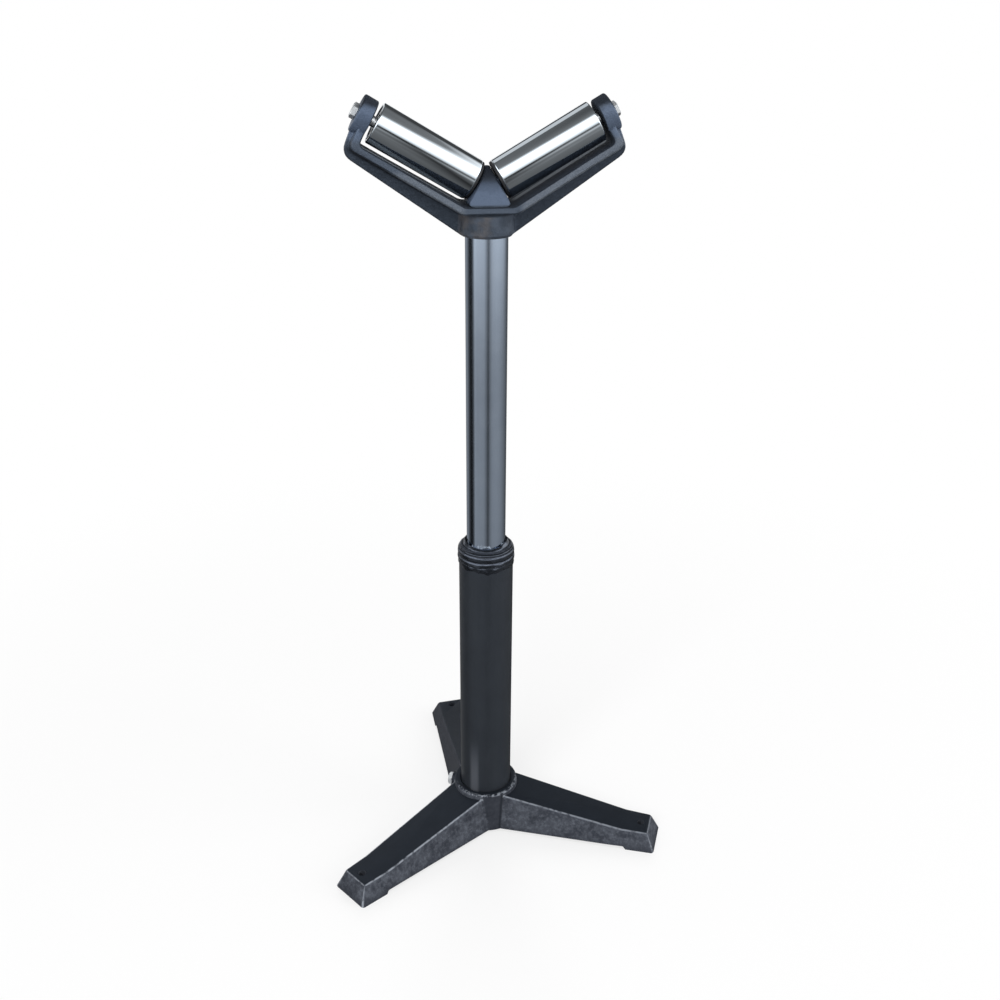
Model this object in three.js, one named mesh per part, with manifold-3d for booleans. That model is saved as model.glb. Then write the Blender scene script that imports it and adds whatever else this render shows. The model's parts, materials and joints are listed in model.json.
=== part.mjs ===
// V roller stand for carrying pipe and round bar. A cast tripod base holds a steel column,
// a plated mast slides up and down in the column, and a cast yoke swivels on the mast's top
// and carries two free running rollers that form a V.
// Millimetres, +Z up. The floor is z = 0 and the origin is the middle of the footprint, so
// the column's axis stands a little in front of it, at y = columnY. The third leg points to +Y.

import * as THREE from "three";
import { mergeVertices } from "three/addons/utils/BufferGeometryUtils.js";
import Module from "manifold-3d";

// Clearances
const seatGap = 0.3;
const slideGap = 0.3;
const threadGap = 0.3;
const cutOverrun = 3;

// Base casting
const legCount = 3;
const backLegAngle = 90;
const legLength = 270;
const footEndInset = 11.5;
const footFloorWidth = 63;
const footTopWidth = 44.5;
const footHeight = 28;
const footFlatLength = 39.5;
const footPadLength = 46;
const footPadStepLength = 4;
const archHeight = 4;
const legRootFloorWidth = 90;
const legRootTopWidth = 60;
const legRootHeight = 54;
const legEdgeRadius = 3;
const legWall = 7;
const legRibThickness = 7;
const rootFilletRadius = 10;
const hubTopDiameter = 96;
const hubFloorDiameter = 116;
const hubHeight = 62;
const hubEdgeRadius = 3;
const hubBoreChamfer = 1.5;
const hubLedgeHeight = 5;
const hubLedgeBore = 60;
const floorHoleDiameter = 11;
const floorHoleInset = 25;

// Bolts, hexagon headed
const boltDiameter = 10;
const boltHeadWidth = 17;
const boltHeadHeight = 6.4;
const boltHeadChamfer = 1.2;
const boltBossDiameter = 24;
const boltBossRise = 2;
const hubBoltAngle = 150;
const hubBoltHeight = 46;

// Column
const columnDiameter = 76.1;
const columnWall = 3.6;
const columnTopHeight = 463;

// Column collar
const collarHeight = 33.5;
const collarCover = 10;
const collarRingDiameter = 78.2;
const collarRingDepth = 1.2;
const collarEdgeRadius = 1;

// Guide bush
const bushLength = 43;
const bushFlangeThickness = 2.5;
const bushFlangeDiameter = 75;

// Mast
const mastDiameter = 54;
const mastWall = 4;
const mastUpwardTravel = 19;
const guideRingLength = 16;
const guideRingLip = 3;
const guideRingLipWidth = 3.5;

// Height lock
const lockBushHeight = 10;
const lockAngle = 90;
const lockScrewDiameter = 12;
const lockBossDiameter = 22;
const lockBossLength = 14;
const lockPadThickness = 3.6;
const leverHubDiameter = 19;
const leverHubLength = 14;
const leverHubStandoff = 2;
const leverHubEdge = 1.5;
const leverArmLength = 60;
const leverArmDiameter = 9;
const leverGripDiameter = 15;
const leverGripLength = 30;
const leverLean = 14;
const leverCapDiameter = 14;
const leverCapThickness = 3;
const leverCapEdge = 1;

// Yoke
const axleCrossHeight = 952.5;
const yokeTurn = -6;
const rollerTilt = 30;
const strapClearance = 6.4;
const strapThickness = 8.4;
const earStrapThickness = 10;
const strapCentreDepth = 72;
const strapEarDepth = 43;
const strapTaperLength = 124;
const strapEdgeRadius = 2.5;
const strapInnerCorner = 6;
const strapOuterCorner = 12;
const strapKinkRadius = 18;
const plateDrop = 17.9;
const plateThickness = 9;
const earBossDiameter = 46;
const earBossLength = 18;
const earBossEdge = 2;
const earStrapRise = 7;
const ribThickness = 12;
const ribEdgeRadius = 2;
const ribEarInset = 0.5;
const ribEarLean = 5;
const ribCornerRadius = 16;
const ribEarDepth = 10.4;
const ribTopCorner = 6;
const ribTopGap = 1;
const yokeHubDiameter = 69;
const yokeHubDrop = 56;
const yokeHubChamfer = 3;
const yokeBoreRoof = 5.5;
const yokeBoltDrop = 42;
const yokeBoltAngle = 90;
const peakBaseDepth = 62;
const peakBaseTaper = 3;
const peakShoulderRise = 14;
const peakShoulderDepth = 45;
const peakShoulderTaper = 1;
const peakTopRise = 26;
const peakTopDepth = 11;
const peakTopTaper = 0.5;
const peakSideOffset = 16;
const peakBossOffset = 17;
const peakCornerRadius = 2.5;
const peakSink = 3;
const peakBossDiameter = 17;
const axleTipOffset = 7;
const axleHoleFloor = 1;

// Rollers
const rollerDiameter = 50.8;
const rollerLength = 133;
const rollerInnerOffset = 20;
const rollerWall = 4;
const rollerEdgeRadius = 1.6;
const rollerOuterGap = 5.5;
const rollerHubRecess = 1.5;
const rollerHubLength = 14;
const rollerHubBore = 22;
const bearingDiameter = 30;
const bearingWidth = 9;
const bearingOuterRingWall = 2.6;
const bearingInnerRingWall = 2.7;
const bearingShieldThickness = 0.8;
const bearingShieldDepth = 0.5;
const ballSetWidth = 5;
const spacerDiameter = 13;
const spacerTubeDiameter = 14;

// Sides of the round pieces, and steps of their small roundings
const wideSides = 48;
const middleSides = 32;
const smallSides = 20;
const hexSides = 6;
const roundSteps = 2;

// Places on the collar's outline between its rings, from its foot to the mast: shares of the
// ring radius and of the collar's height.
const collarValleyShares = [
  [1, 0],
  [0.997, 0.424],
  [0.99, 0.734],
  [0.904, 0.896],
  [0.726, 1],
];

const degrees = Math.PI / 180;
const wasm = await Module();
wasm.setup();

// Materials, one for each finish
function finish(color, roughness, metalness) {
  return () => new THREE.MeshStandardMaterial({ color, roughness, metalness });
}
const castIron = finish(0x2b2e33, 0.65, 0.3);
const blackPaint = finish(0x33363b, 0.4, 0.2);
const blackCap = finish(0x1d1f22, 0.35, 0.1);
const zincPlate = finish(0xa4adb5, 0.3, 1);
const chrome = finish(0xe2e5e8, 0.08, 1);
const steel = finish(0x8d9298, 0.35, 1);
const nylon = finish(0xd8d2c0, 0.6, 0);
const bronze = finish(0xa8824a, 0.45, 0.9);
const blackPlastic = finish(0x16171a, 0.5, 0);

// A closed three.js geometry as a solid, without the triangles that shrink to a line.
function solidOf(geometry) {
  const bare = new THREE.BufferGeometry();
  bare.setAttribute("position", geometry.getAttribute("position"));
  bare.setIndex(geometry.index);
  const merged = mergeVertices(bare);
  const corners = merged.index.array;
  const kept = [];
  for (let i = 0; i < corners.length; i += 3) {
    const [a, b, c] = [corners[i], corners[i + 1], corners[i + 2]];
    if (a !== b && b !== c && c !== a) kept.push(a, b, c);
  }
  const vertProperties = new Float32Array(merged.getAttribute("position").array);
  const triVerts = new Uint32Array(kept);
  return new wasm.Manifold(new wasm.Mesh({ numProp: 3, vertProperties, triVerts }));
}

function geometryOf(solid) {
  const { vertProperties, triVerts } = solid.getMesh();
  const geometry = new THREE.BufferGeometry();
  geometry.setAttribute("position", new THREE.BufferAttribute(vertProperties, 3));
  geometry.setIndex(new THREE.BufferAttribute(triVerts, 1));
  geometry.computeVertexNormals();
  return geometry;
}

function named(name, solid, material) {
  const mesh = new THREE.Mesh(geometryOf(solid), material());
  mesh.name = name;
  return mesh;
}

function joined(solids) {
  return solids.reduce((whole, solid) => whole.add(solid));
}

// The unit arc from the first angle to the last, as [cosine, sine] pairs.
function arcShares(first, last, steps) {
  const shares = [];
  for (let i = 0; i <= steps; i += 1) {
    const angle = first + ((last - first) * i) / steps;
    shares.push([Math.cos(angle), Math.sin(angle)]);
  }
  return shares;
}

// A quarter round of an outline about a centre, from one compass quarter to the next.
function quarter(centreX, centreY, radius, startQuarter) {
  const start = (startQuarter * Math.PI) / 2;
  const shares = arcShares(start, start + Math.PI / 2, roundSteps);
  return shares.map(([c, s]) => [centreX + radius * c, centreY + radius * s]);
}

// A piece turned about the Z axis. The outline holds [radius, height] points and runs
// anticlockwise with the radius to the right, and a ring's outline closes on itself.
function turned(outline, sides) {
  const onAxis = outline[0][0] === 0;
  const points = onAxis ? outline : [...outline, outline[0]];
  const profile = points.map(([radius, height]) => new THREE.Vector2(radius, height));
  return solidOf(new THREE.LatheGeometry(profile, sides).rotateX(Math.PI / 2));
}

// A plain round bar along Z.
function bar(diameter, low, high, sides) {
  const radius = diameter / 2;
  return turned([[0, low], [radius, low], [radius, high], [0, high]], sides);
}

// A plain ring along Z.
function ring(outer, inner, low, high, sides) {
  return turned([[inner, low], [outer, low], [outer, high], [inner, high]], sides);
}

// A ring, or with no inner radius a disc, along Z with its outer edges rounded.
function roundedRing(outer, inner, low, high, edge, sides) {
  const foot = quarter(outer - edge, low + edge, edge, 3);
  const top = quarter(outer - edge, high - edge, edge, 0);
  return turned([[inner, low], ...foot, ...top, [inner, high]], sides);
}

// A solid through sections with the same number of points, each a convex outline.
function loft(sections) {
  const count = sections[0].length;
  const positions = sections.flat(2);
  const faces = [];
  const last = (sections.length - 1) * count;
  for (let i = 1; i < count - 1; i += 1) {
    faces.push(0, i + 1, i);
    faces.push(last, last + i, last + i + 1);
  }
  for (let s = 0; s < sections.length - 1; s += 1) {
    for (let i = 0; i < count; i += 1) {
      const a = s * count + i;
      const b = s * count + ((i + 1) % count);
      faces.push(a, b, b + count);
      faces.push(a, b + count, a + count);
    }
  }
  const geometry = new THREE.BufferGeometry();
  geometry.setAttribute("position", new THREE.Float32BufferAttribute(positions, 3));
  geometry.setIndex(faces);
  return solidOf(geometry);
}

// The points of a path of [x, z, radius] corners, with every corner that has a radius rounded.
function roundedPath(corners, closed) {
  const place = ([x, z]) => new THREE.Vector2(x, z);
  const count = corners.length;
  return corners.flatMap((corner, i) => {
    const here = place(corner);
    const atEnd = !closed && (i === 0 || i === count - 1);
    if (corner[2] === 0 || atEnd) return [here];
    const inward = place(corners[(i + count - 1) % count]).sub(here).normalize();
    const outward = place(corners[(i + 1) % count]).sub(here).normalize();
    const reach = corner[2] / Math.tan(inward.angleTo(outward) / 2);
    const start = here.clone().addScaledVector(inward, reach);
    const end = here.clone().addScaledVector(outward, reach);
    return new THREE.QuadraticBezierCurve(start, here, end).getPoints(roundSteps + 1);
  });
}

// A closed outline of [x, z, radius] corners, extruded to both sides of y = 0.
function plateAcross(corners, depth, edge) {
  const options = {
    depth: depth - 2 * edge,
    bevelEnabled: edge > 0,
    bevelThickness: edge,
    bevelSize: edge,
    bevelOffset: -edge,
    bevelSegments: roundSteps,
  };
  const geometry = new THREE.ExtrudeGeometry(new THREE.Shape(roundedPath(corners, true)), options);
  return solidOf(geometry.translate(0, 0, edge - depth / 2).rotateX(Math.PI / 2));
}

function moved(solid, matrix) {
  return solid.transform(matrix.elements);
}

// The turn that points a piece's Z axis outward from the column, at an angle in degrees.
function radial(angle, x, y, z) {
  const turn = new THREE.Matrix4().makeRotationZ(angle * degrees);
  turn.multiply(new THREE.Matrix4().makeRotationY(Math.PI / 2));
  return turn.setPosition(x, y, z);
}

const hexCornerRadius = boltHeadWidth / 2 / Math.cos(Math.PI / hexSides);

// Hexagon headed bolt along Z: the shank ends at low and the head sits on seat.
function hexBolt(low, seat) {
  const head = new THREE.CylinderGeometry(hexCornerRadius, hexCornerRadius, boltHeadHeight, hexSides);
  head.rotateX(Math.PI / 2).translate(0, 0, seat + boltHeadHeight / 2);
  const top = seat + boltHeadHeight;
  const dome = turned(
    [
      [0, seat],
      [hexCornerRadius + boltHeadChamfer, seat],
      [hexCornerRadius + boltHeadChamfer, top - 2 * boltHeadChamfer],
      [boltHeadWidth / 2 - boltHeadChamfer / 2, top],
      [0, top],
    ],
    smallSides,
  );
  return solidOf(head).intersect(dome).add(bar(boltDiameter, low, seat + boltHeadChamfer, smallSides));
}

// Base casting

const hubTopRadius = hubTopDiameter / 2;
const hubFloorRadius = hubFloorDiameter / 2;
const columnRadius = columnDiameter / 2;
const columnFootHeight = archHeight + hubLedgeHeight + seatGap;
const legAngles = Array.from({ length: legCount }, (unused, i) => backLegAngle + (360 / legCount) * i);

// How far a leg's width, or its top, has changed from the root to a reach.
function alongLeg(reach, tipReach, rootValue, tipValue) {
  const share = (reach - hubTopRadius) / (tipReach - hubTopRadius);
  return rootValue + (tipValue - rootValue) * share;
}
function legFloorHalf(reach) {
  return alongLeg(reach, legLength, legRootFloorWidth, footFloorWidth) / 2;
}
function legTopHalf(reach) {
  return alongLeg(reach, legLength - footEndInset, legRootTopWidth, footTopWidth) / 2;
}
const footFlatReach = legLength - footEndInset - footFlatLength;
function legTop(reach) {
  return Math.max(footHeight, alongLeg(reach, footFlatReach, legRootHeight, footHeight));
}

// Half width of a leg at a reach and a height, on its drafted side.
function legSide(reach, height) {
  const share = height / legTop(reach);
  return legFloorHalf(reach) * (1 - share) + legTopHalf(reach) * share;
}

// A section across a leg, as [x, y, z] points with rounded top edges. The drop lowers the top
// and draws in the sides, and the end of the leg leans back by the draft where inset is given.
function legSection(reach, drop, inset) {
  const top = legTop(reach) - drop;
  const floorHalf = legFloorHalf(reach) - drop;
  const topHalf = legTopHalf(reach) - drop;
  const sideDrop = Math.min(legEdgeRadius, top / 2);
  const sideHalf = topHalf + ((floorHalf - topHalf) * sideDrop) / top;
  const edge = new THREE.QuadraticBezierCurve(
    new THREE.Vector2(sideHalf, top - sideDrop),
    new THREE.Vector2(topHalf, top),
    new THREE.Vector2(topHalf - legEdgeRadius, top),
  ).getPoints(roundSteps - 1);
  const half = [new THREE.Vector2(floorHalf, 0), ...edge];
  const outline = [...half, ...half.toReversed().map((p) => new THREE.Vector2(-p.x, p.y))];
  return outline.map((p) => {
    const lean = inset === undefined ? reach : legLength - inset - (footEndInset * p.y) / footHeight;
    return [lean, p.x, p.y];
  });
}

function tipRounding() {
  return arcShares(0, Math.PI / 2, roundSteps - 1).map(([c, s]) => ({
    drop: legEdgeRadius * (1 - c),
    inset: legEdgeRadius * (1 - s),
  }));
}

function legBody() {
  const tips = tipRounding().map(({ drop, inset }) => legSection(legLength, drop, inset));
  return loft([legSection(0, 0), legSection(footFlatReach, 0), ...tips]);
}

// The raised underside between hub and foot pad, with a slanted step up from the pad.
function archCut() {
  const stepReach = legLength - footPadLength;
  const corners = [
    [-cutOverrun, -cutOverrun, 0],
    [stepReach + footPadStepLength, -cutOverrun, 0],
    [stepReach + footPadStepLength, 0, 0],
    [stepReach, archHeight, 0],
    [-cutOverrun, archHeight, 0],
  ];
  return plateAcross(corners, hubFloorDiameter + 2 * cutOverrun, 0);
}

// A pocket under a leg, between two reaches, that leaves the leg's wall all round.
function legPocket(fromReach, toReach) {
  const section = (reach) => {
    const top = legTop(reach) - legWall;
    const floorHalf = legFloorHalf(reach) - legWall;
    const topHalf = legSide(reach, top) - legWall;
    return [
      [reach, floorHalf, -cutOverrun],
      [reach, topHalf, top],
      [reach, -topHalf, top],
      [reach, -floorHalf, -cutOverrun],
    ];
  };
  return loft([section(fromReach), section(toReach)]);
}

// The concave fillet where a leg's side meets the hub, on the side given by sign.
function rootFillet(sign) {
  const section = (height) => {
    const side = legSide(hubTopRadius, height);
    const hub = hubFloorRadius + ((hubTopRadius - hubFloorRadius) * height) / hubHeight;
    const centreY = side + rootFilletRadius;
    const centreX = Math.sqrt((hub + rootFilletRadius) ** 2 - centreY ** 2);
    const hubAngle = Math.atan2(centreY, centreX) - Math.PI;
    const arc = arcShares(-Math.PI / 2, hubAngle, roundSteps + 1);
    const round = arc.map(([c, s]) => [centreX + rootFilletRadius * c, centreY + rootFilletRadius * s]);
    const [footX, footY] = round.at(0);
    const [endX, endY] = round.at(-1);
    const sunk = 1 - rootFilletRadius / 2 / hub;
    const corner = [Math.sqrt(hub ** 2 - side ** 2) * sunk, side * sunk];
    const outline = [corner, [footX, footY - rootFilletRadius / 2], ...round, [endX * sunk, endY * sunk]];
    const points = outline.map(([x, y]) => [x, sign * y, height]);
    return sign > 0 ? points : [points[0], ...points.slice(1).toReversed()];
  };
  return loft([section(archHeight), section(legRootHeight - legEdgeRadius)]);
}

function baseCasting() {
  const hubFoot = hubFloorRadius - ((hubFloorRadius - hubTopRadius) * archHeight) / hubHeight;
  const hub = turned(
    [
      [0, archHeight],
      [hubFoot, archHeight],
      ...quarter(hubTopRadius - hubEdgeRadius, hubHeight - hubEdgeRadius, hubEdgeRadius, 0),
      [0, hubHeight],
    ],
    wideSides,
  );
  const bore = columnRadius + seatGap;
  const boreCut = turned(
    [
      [0, -cutOverrun],
      [hubLedgeBore / 2, -cutOverrun],
      [hubLedgeBore / 2, archHeight + hubLedgeHeight],
      [bore, archHeight + hubLedgeHeight],
      [bore, hubHeight - hubBoreChamfer],
      [bore + hubBoreChamfer, hubHeight],
      [bore + hubBoreChamfer, hubHeight + cutOverrun],
      [0, hubHeight + cutOverrun],
    ],
    wideSides,
  );
  const pocketStart = hubFloorRadius + legWall;
  const pocketEnd = legLength - footPadLength - legWall;
  const ribMiddle = (pocketStart + pocketEnd) / 2;
  const holeCut = bar(floorHoleDiameter, -cutOverrun, footHeight + cutOverrun, smallSides);
  const holePlace = new THREE.Matrix4().makeTranslation(legLength - floorHoleInset, 0, 0);
  const leg = legBody()
    .add(rootFillet(1))
    .add(rootFillet(-1))
    .subtract(legPocket(pocketStart, ribMiddle - legRibThickness / 2))
    .subtract(legPocket(ribMiddle + legRibThickness / 2, pocketEnd))
    .subtract(moved(holeCut, holePlace));
  const turns = legAngles.map((angle) => new THREE.Matrix4().makeRotationZ(angle * degrees));
  const legs = joined(turns.map((turn) => moved(leg, turn)));
  const arches = joined(turns.map((turn) => moved(archCut(), turn)));
  const boltSeat = radial(hubBoltAngle, 0, 0, hubBoltHeight);
  const boltBoss = moved(bar(boltBossDiameter, columnRadius, hubBoltSeatRadius(), smallSides), boltSeat);
  const boltHole = bar(boltDiameter + 2 * threadGap, 0, hubFloorRadius + cutOverrun, smallSides);
  return hub.add(legs).add(boltBoss).subtract(arches).subtract(boreCut).subtract(moved(boltHole, boltSeat));
}

function hubBoltSeatRadius() {
  const hub = hubFloorRadius + ((hubTopRadius - hubFloorRadius) * hubBoltHeight) / hubHeight;
  return hub + boltBossRise;
}

// The column's axis stands in front of the middle of the footprint, because one leg points
// back and two point to the front.
function footprintFront() {
  const lean = (90 - 360 / legCount / 2) * degrees;
  const reaches = tipRounding().map(({ drop, inset }) => {
    const half = legFloorHalf(legLength) - drop;
    return (legLength - inset) * Math.sin(lean) + half * Math.cos(lean);
  });
  return Math.max(...reaches);
}
const columnY = (footprintFront() - legLength) / 2;

// Column, collar and bush

const columnBoreRadius = columnRadius - columnWall;
const mastRadius = mastDiameter / 2;
const bushFootHeight = columnTopHeight - bushLength;
const lockHeight = bushFootHeight + lockBushHeight;
const mastFootHeight = bushFootHeight - mastUpwardTravel - guideRingLength;

function columnTube() {
  const tube = ring(columnRadius, columnBoreRadius, columnFootHeight, columnTopHeight, wideSides);
  const hole = bar(lockScrewDiameter + 2 * threadGap, mastRadius, columnDiameter, smallSides);
  return tube.subtract(moved(hole, radial(lockAngle, 0, 0, lockHeight)));
}

// The collar stands over the column's end: two round rings on its skirt, two on its dome.
function columnCollar() {
  const roof = columnTopHeight + bushFlangeThickness + 2 * seatGap;
  const top = roof + collarCover;
  const foot = top - collarHeight;
  const ringRadius = collarRingDiameter / 2;
  const valleys = collarValleyShares.map(([r, h]) => [r * ringRadius, foot + h * collarHeight]);
  const outside = [];
  valleys.slice(1).forEach((end, i) => {
    const start = valleys[i];
    const run = [end[0] - start[0], end[1] - start[1]];
    const length = Math.hypot(...run);
    arcShares(0, Math.PI, roundSteps + 1).slice(0, -1).forEach(([c, s]) => {
      const share = (1 - c) / 2;
      const bulge = (collarRingDepth * s) / length;
      outside.push([start[0] + run[0] * share + run[1] * bulge, start[1] + run[1] * share - run[0] * bulge]);
    });
  });
  const bore = mastRadius + slideGap;
  const skirt = columnRadius + seatGap;
  return turned(
    [
      [skirt, foot],
      ...outside,
      valleys.at(-1),
      [bore + collarEdgeRadius, top],
      [bore, top - collarEdgeRadius],
      [bore, roof],
      [skirt, roof],
    ],
    wideSides,
  );
}

function guideBush() {
  const bore = mastRadius + slideGap;
  const outside = columnBoreRadius - seatGap;
  const flangeFoot = columnTopHeight + seatGap;
  const flangeTop = flangeFoot + bushFlangeThickness;
  const bush = turned(
    [
      [bore, bushFootHeight],
      [outside, bushFootHeight],
      [outside, flangeFoot],
      [bushFlangeDiameter / 2, flangeFoot],
      [bushFlangeDiameter / 2, flangeTop],
      [bore, flangeTop],
    ],
    middleSides,
  );
  const hole = bar(lockScrewDiameter + 2 * threadGap, 0, columnDiameter, smallSides);
  return bush.subtract(moved(hole, radial(lockAngle, 0, 0, lockHeight)));
}

// Height lock. Its own frame has Z along the screw, outward from the column's axis, and X
// pointing down.

const lockSeat = columnRadius + lockBossLength;

function lockBoss() {
  const boss = bar(lockBossDiameter, mastRadius, lockSeat, smallSides);
  const hole = bar(lockScrewDiameter + 2 * threadGap, 0, lockSeat + cutOverrun, smallSides);
  const column = bar(columnDiameter + 2 * seatGap, -columnDiameter, columnDiameter, wideSides);
  return boss.subtract(hole).subtract(moved(column, new THREE.Matrix4().makeRotationY(Math.PI / 2)));
}

function lockPad() {
  const face = mastRadius + seatGap;
  return bar(lockScrewDiameter, face, face + lockPadThickness, smallSides);
}

const leverFoot = lockSeat + leverHubStandoff;
const leverTop = leverFoot + leverHubLength;

function lockScrew() {
  return bar(lockScrewDiameter, mastRadius + lockPadThickness + 2 * seatGap, leverTop - seatGap, smallSides);
}

function lockLever() {
  const hubRadius = leverHubDiameter / 2;
  const hub = roundedRing(hubRadius, 0, leverFoot, leverTop, leverHubEdge, smallSides);
  const armRadius = leverArmDiameter / 2;
  const gripRadius = leverGripDiameter / 2;
  const gripFoot = leverArmLength - leverGripLength;
  const arm = turned(
    [
      [0, 0],
      [armRadius, 0],
      [armRadius, gripFoot],
      ...arcShares(0, Math.PI / 2, 2 * roundSteps).map(([c, s]) => [
        gripRadius * c,
        leverArmLength - gripRadius + gripRadius * s,
      ]),
    ],
    smallSides,
  );
  const place = new THREE.Matrix4().makeRotationY((90 - leverLean) * degrees);
  place.setPosition(0, 0, (leverFoot + leverTop) / 2);
  const bore = bar(lockScrewDiameter + 2 * threadGap, 0, leverTop + cutOverrun, smallSides);
  return hub.add(moved(arm, place)).subtract(bore);
}

function leverCap() {
  const foot = leverTop + seatGap;
  return roundedRing(leverCapDiameter / 2, 0, foot, foot + leverCapThickness, leverCapEdge, smallSides);
}

// Mast

const yokeBoreTop = axleCrossHeight - plateDrop - yokeBoreRoof;
const mastTubeFoot = mastFootHeight + guideRingLip + seatGap;

function mastTube() {
  return ring(mastRadius, mastRadius - mastWall, mastTubeFoot, yokeBoreTop - seatGap, wideSides);
}

function mastGuideRing() {
  const outside = columnBoreRadius - slideGap;
  const inside = mastRadius + seatGap;
  return turned(
    [
      [inside - guideRingLipWidth, mastFootHeight],
      [outside, mastFootHeight],
      [outside, mastFootHeight + guideRingLength],
      [inside, mastFootHeight + guideRingLength],
      [inside, mastFootHeight + guideRingLip],
      [inside - guideRingLipWidth, mastFootHeight + guideRingLip],
    ],
    middleSides,
  );
}

// Yoke. Its frame has its origin where the two axles' lines cross, X across the V and Z up.
// A place on an arm is given by its distance along the axle and its height over the axle.

const tilt = rollerTilt * degrees;
const rollerRadius = rollerDiameter / 2;
const rollerOuterOffset = rollerInnerOffset + rollerLength;
const earInside = rollerOuterOffset + rollerOuterGap;
const earOutside = earInside + earBossLength;
const strapTop = -(rollerRadius + strapClearance);
const strapBottom = strapTop - strapThickness;
const plateTop = -plateDrop;
const plateBottom = plateTop - plateThickness;
const armSides = { left: -1, right: 1 };

function onArm(along, height, radius) {
  const x = along * Math.cos(tilt) - height * Math.sin(tilt);
  const z = along * Math.sin(tilt) + height * Math.cos(tilt);
  return [x, z, radius];
}

// Where an arm's flat at a height over the axle meets a level plane.
function kink(height, level) {
  const along = (level - height * Math.cos(tilt)) / Math.sin(tilt);
  return [along * Math.cos(tilt) - height * Math.sin(tilt), level, strapKinkRadius];
}

// The turn from an axle's own frame, Z along it, to the yoke's frame.
function armTurn(side) {
  return new THREE.Matrix4().makeRotationY(side * (Math.PI / 2 - tilt));
}

// The strap under both rollers and up the ears, lofted from ear to ear through sections with
// rounded edges. It is deepest over the hub and narrows evenly along each arm.
function strap() {
  const earOuterFace = earInside + earStrapThickness;
  const upper = roundedPath([
    [0, plateTop, 0],
    kink(strapTop, plateTop),
    onArm(strapTaperLength, strapTop, 0),
    onArm(earInside, strapTop, strapInnerCorner),
    onArm(earInside, earStrapRise, 0),
  ]);
  const lower = roundedPath([
    [0, plateBottom, 0],
    kink(strapBottom, plateBottom),
    onArm(strapTaperLength, strapBottom, 0),
    onArm(earOuterFace, strapBottom, strapOuterCorner),
    onArm(earOuterFace, earStrapRise, 0),
  ]);
  const [kinkX] = kink(strapTop, plateTop);
  const [taperX] = onArm(strapTaperLength, strapTop, 0);
  const sections = upper.map((top, i) => {
    const share = THREE.MathUtils.clamp((top.x - kinkX) / (taperX - kinkX), 0, 1);
    const depth = strapCentreDepth + (strapEarDepth - strapCentreDepth) * share;
    const down = lower[i].clone().sub(top);
    const thickness = down.length();
    down.normalize();
    const near = strapEdgeRadius;
    const far = thickness - strapEdgeRadius;
    const reach = depth / 2 - strapEdgeRadius;
    const outline = [
      ...quarter(reach, far, strapEdgeRadius, 0),
      ...quarter(-reach, far, strapEdgeRadius, 1),
      ...quarter(-reach, near, strapEdgeRadius, 2),
      ...quarter(reach, near, strapEdgeRadius, 3),
    ];
    return outline.map(([y, fall]) => [top.x + down.x * fall, y, top.y + down.y * fall]);
  });
  const mirrored = sections.slice(1).map((section) => section.map(([x, y, z]) => [-x, y, z]));
  return loft([...sections.toReversed(), ...mirrored]);
}

// The rib under the strap, from the hub's foot out round both ears.
function rib() {
  const hubFootX = yokeHubDiameter / 2 - yokeHubChamfer;
  const ribOutside = earOutside - ribEarInset;
  const under = hexCornerRadius + ribTopGap;
  const middle = (strapTop + strapBottom) / 2;
  const half = [
    [hubFootX, -yokeHubDrop, 0],
    onArm(ribOutside - ribEarLean, strapBottom - ribEarDepth, ribCornerRadius),
    onArm(ribOutside, -under, ribTopCorner),
    onArm(earInside + earStrapThickness / 2, -under, 0),
    onArm(earInside + earStrapThickness / 2, middle, 0),
    kink(middle, (plateTop + plateBottom) / 2),
  ];
  const left = half.map(([x, z, radius]) => [-x, z, radius]).toReversed();
  return plateAcross([...half, ...left], ribThickness, ribEdgeRadius);
}

// The central peak between the rollers. Its sides face the rollers' ends and taper in a little
// to the front and the back, which lean in up to the shoulder and slope in steeply above it.
function peak() {
  const section = (z, depth, taper) => {
    const middle = (peakSideOffset - z * Math.sin(tilt)) / Math.cos(tilt);
    const cornerX = middle - taper - peakCornerRadius;
    const cornerY = depth / 2 - peakCornerRadius;
    const round = quarter(cornerX, cornerY, peakCornerRadius, 0);
    const back = [[middle, 0], ...round, ...round.toReversed().map(([x, y]) => [-x, y])];
    const front = back.slice(1).map(([x, y]) => [-x, -y]);
    return [...back, [-middle, 0], ...front].map(([x, y]) => [x, y, z]);
  };
  return loft([
    section(plateTop - peakSink, peakBaseDepth, peakBaseTaper),
    section(plateTop, peakBaseDepth, peakBaseTaper),
    section(peakShoulderRise, peakShoulderDepth, peakShoulderTaper),
    section(peakTopRise, peakTopDepth, peakTopTaper),
  ]);
}

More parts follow.
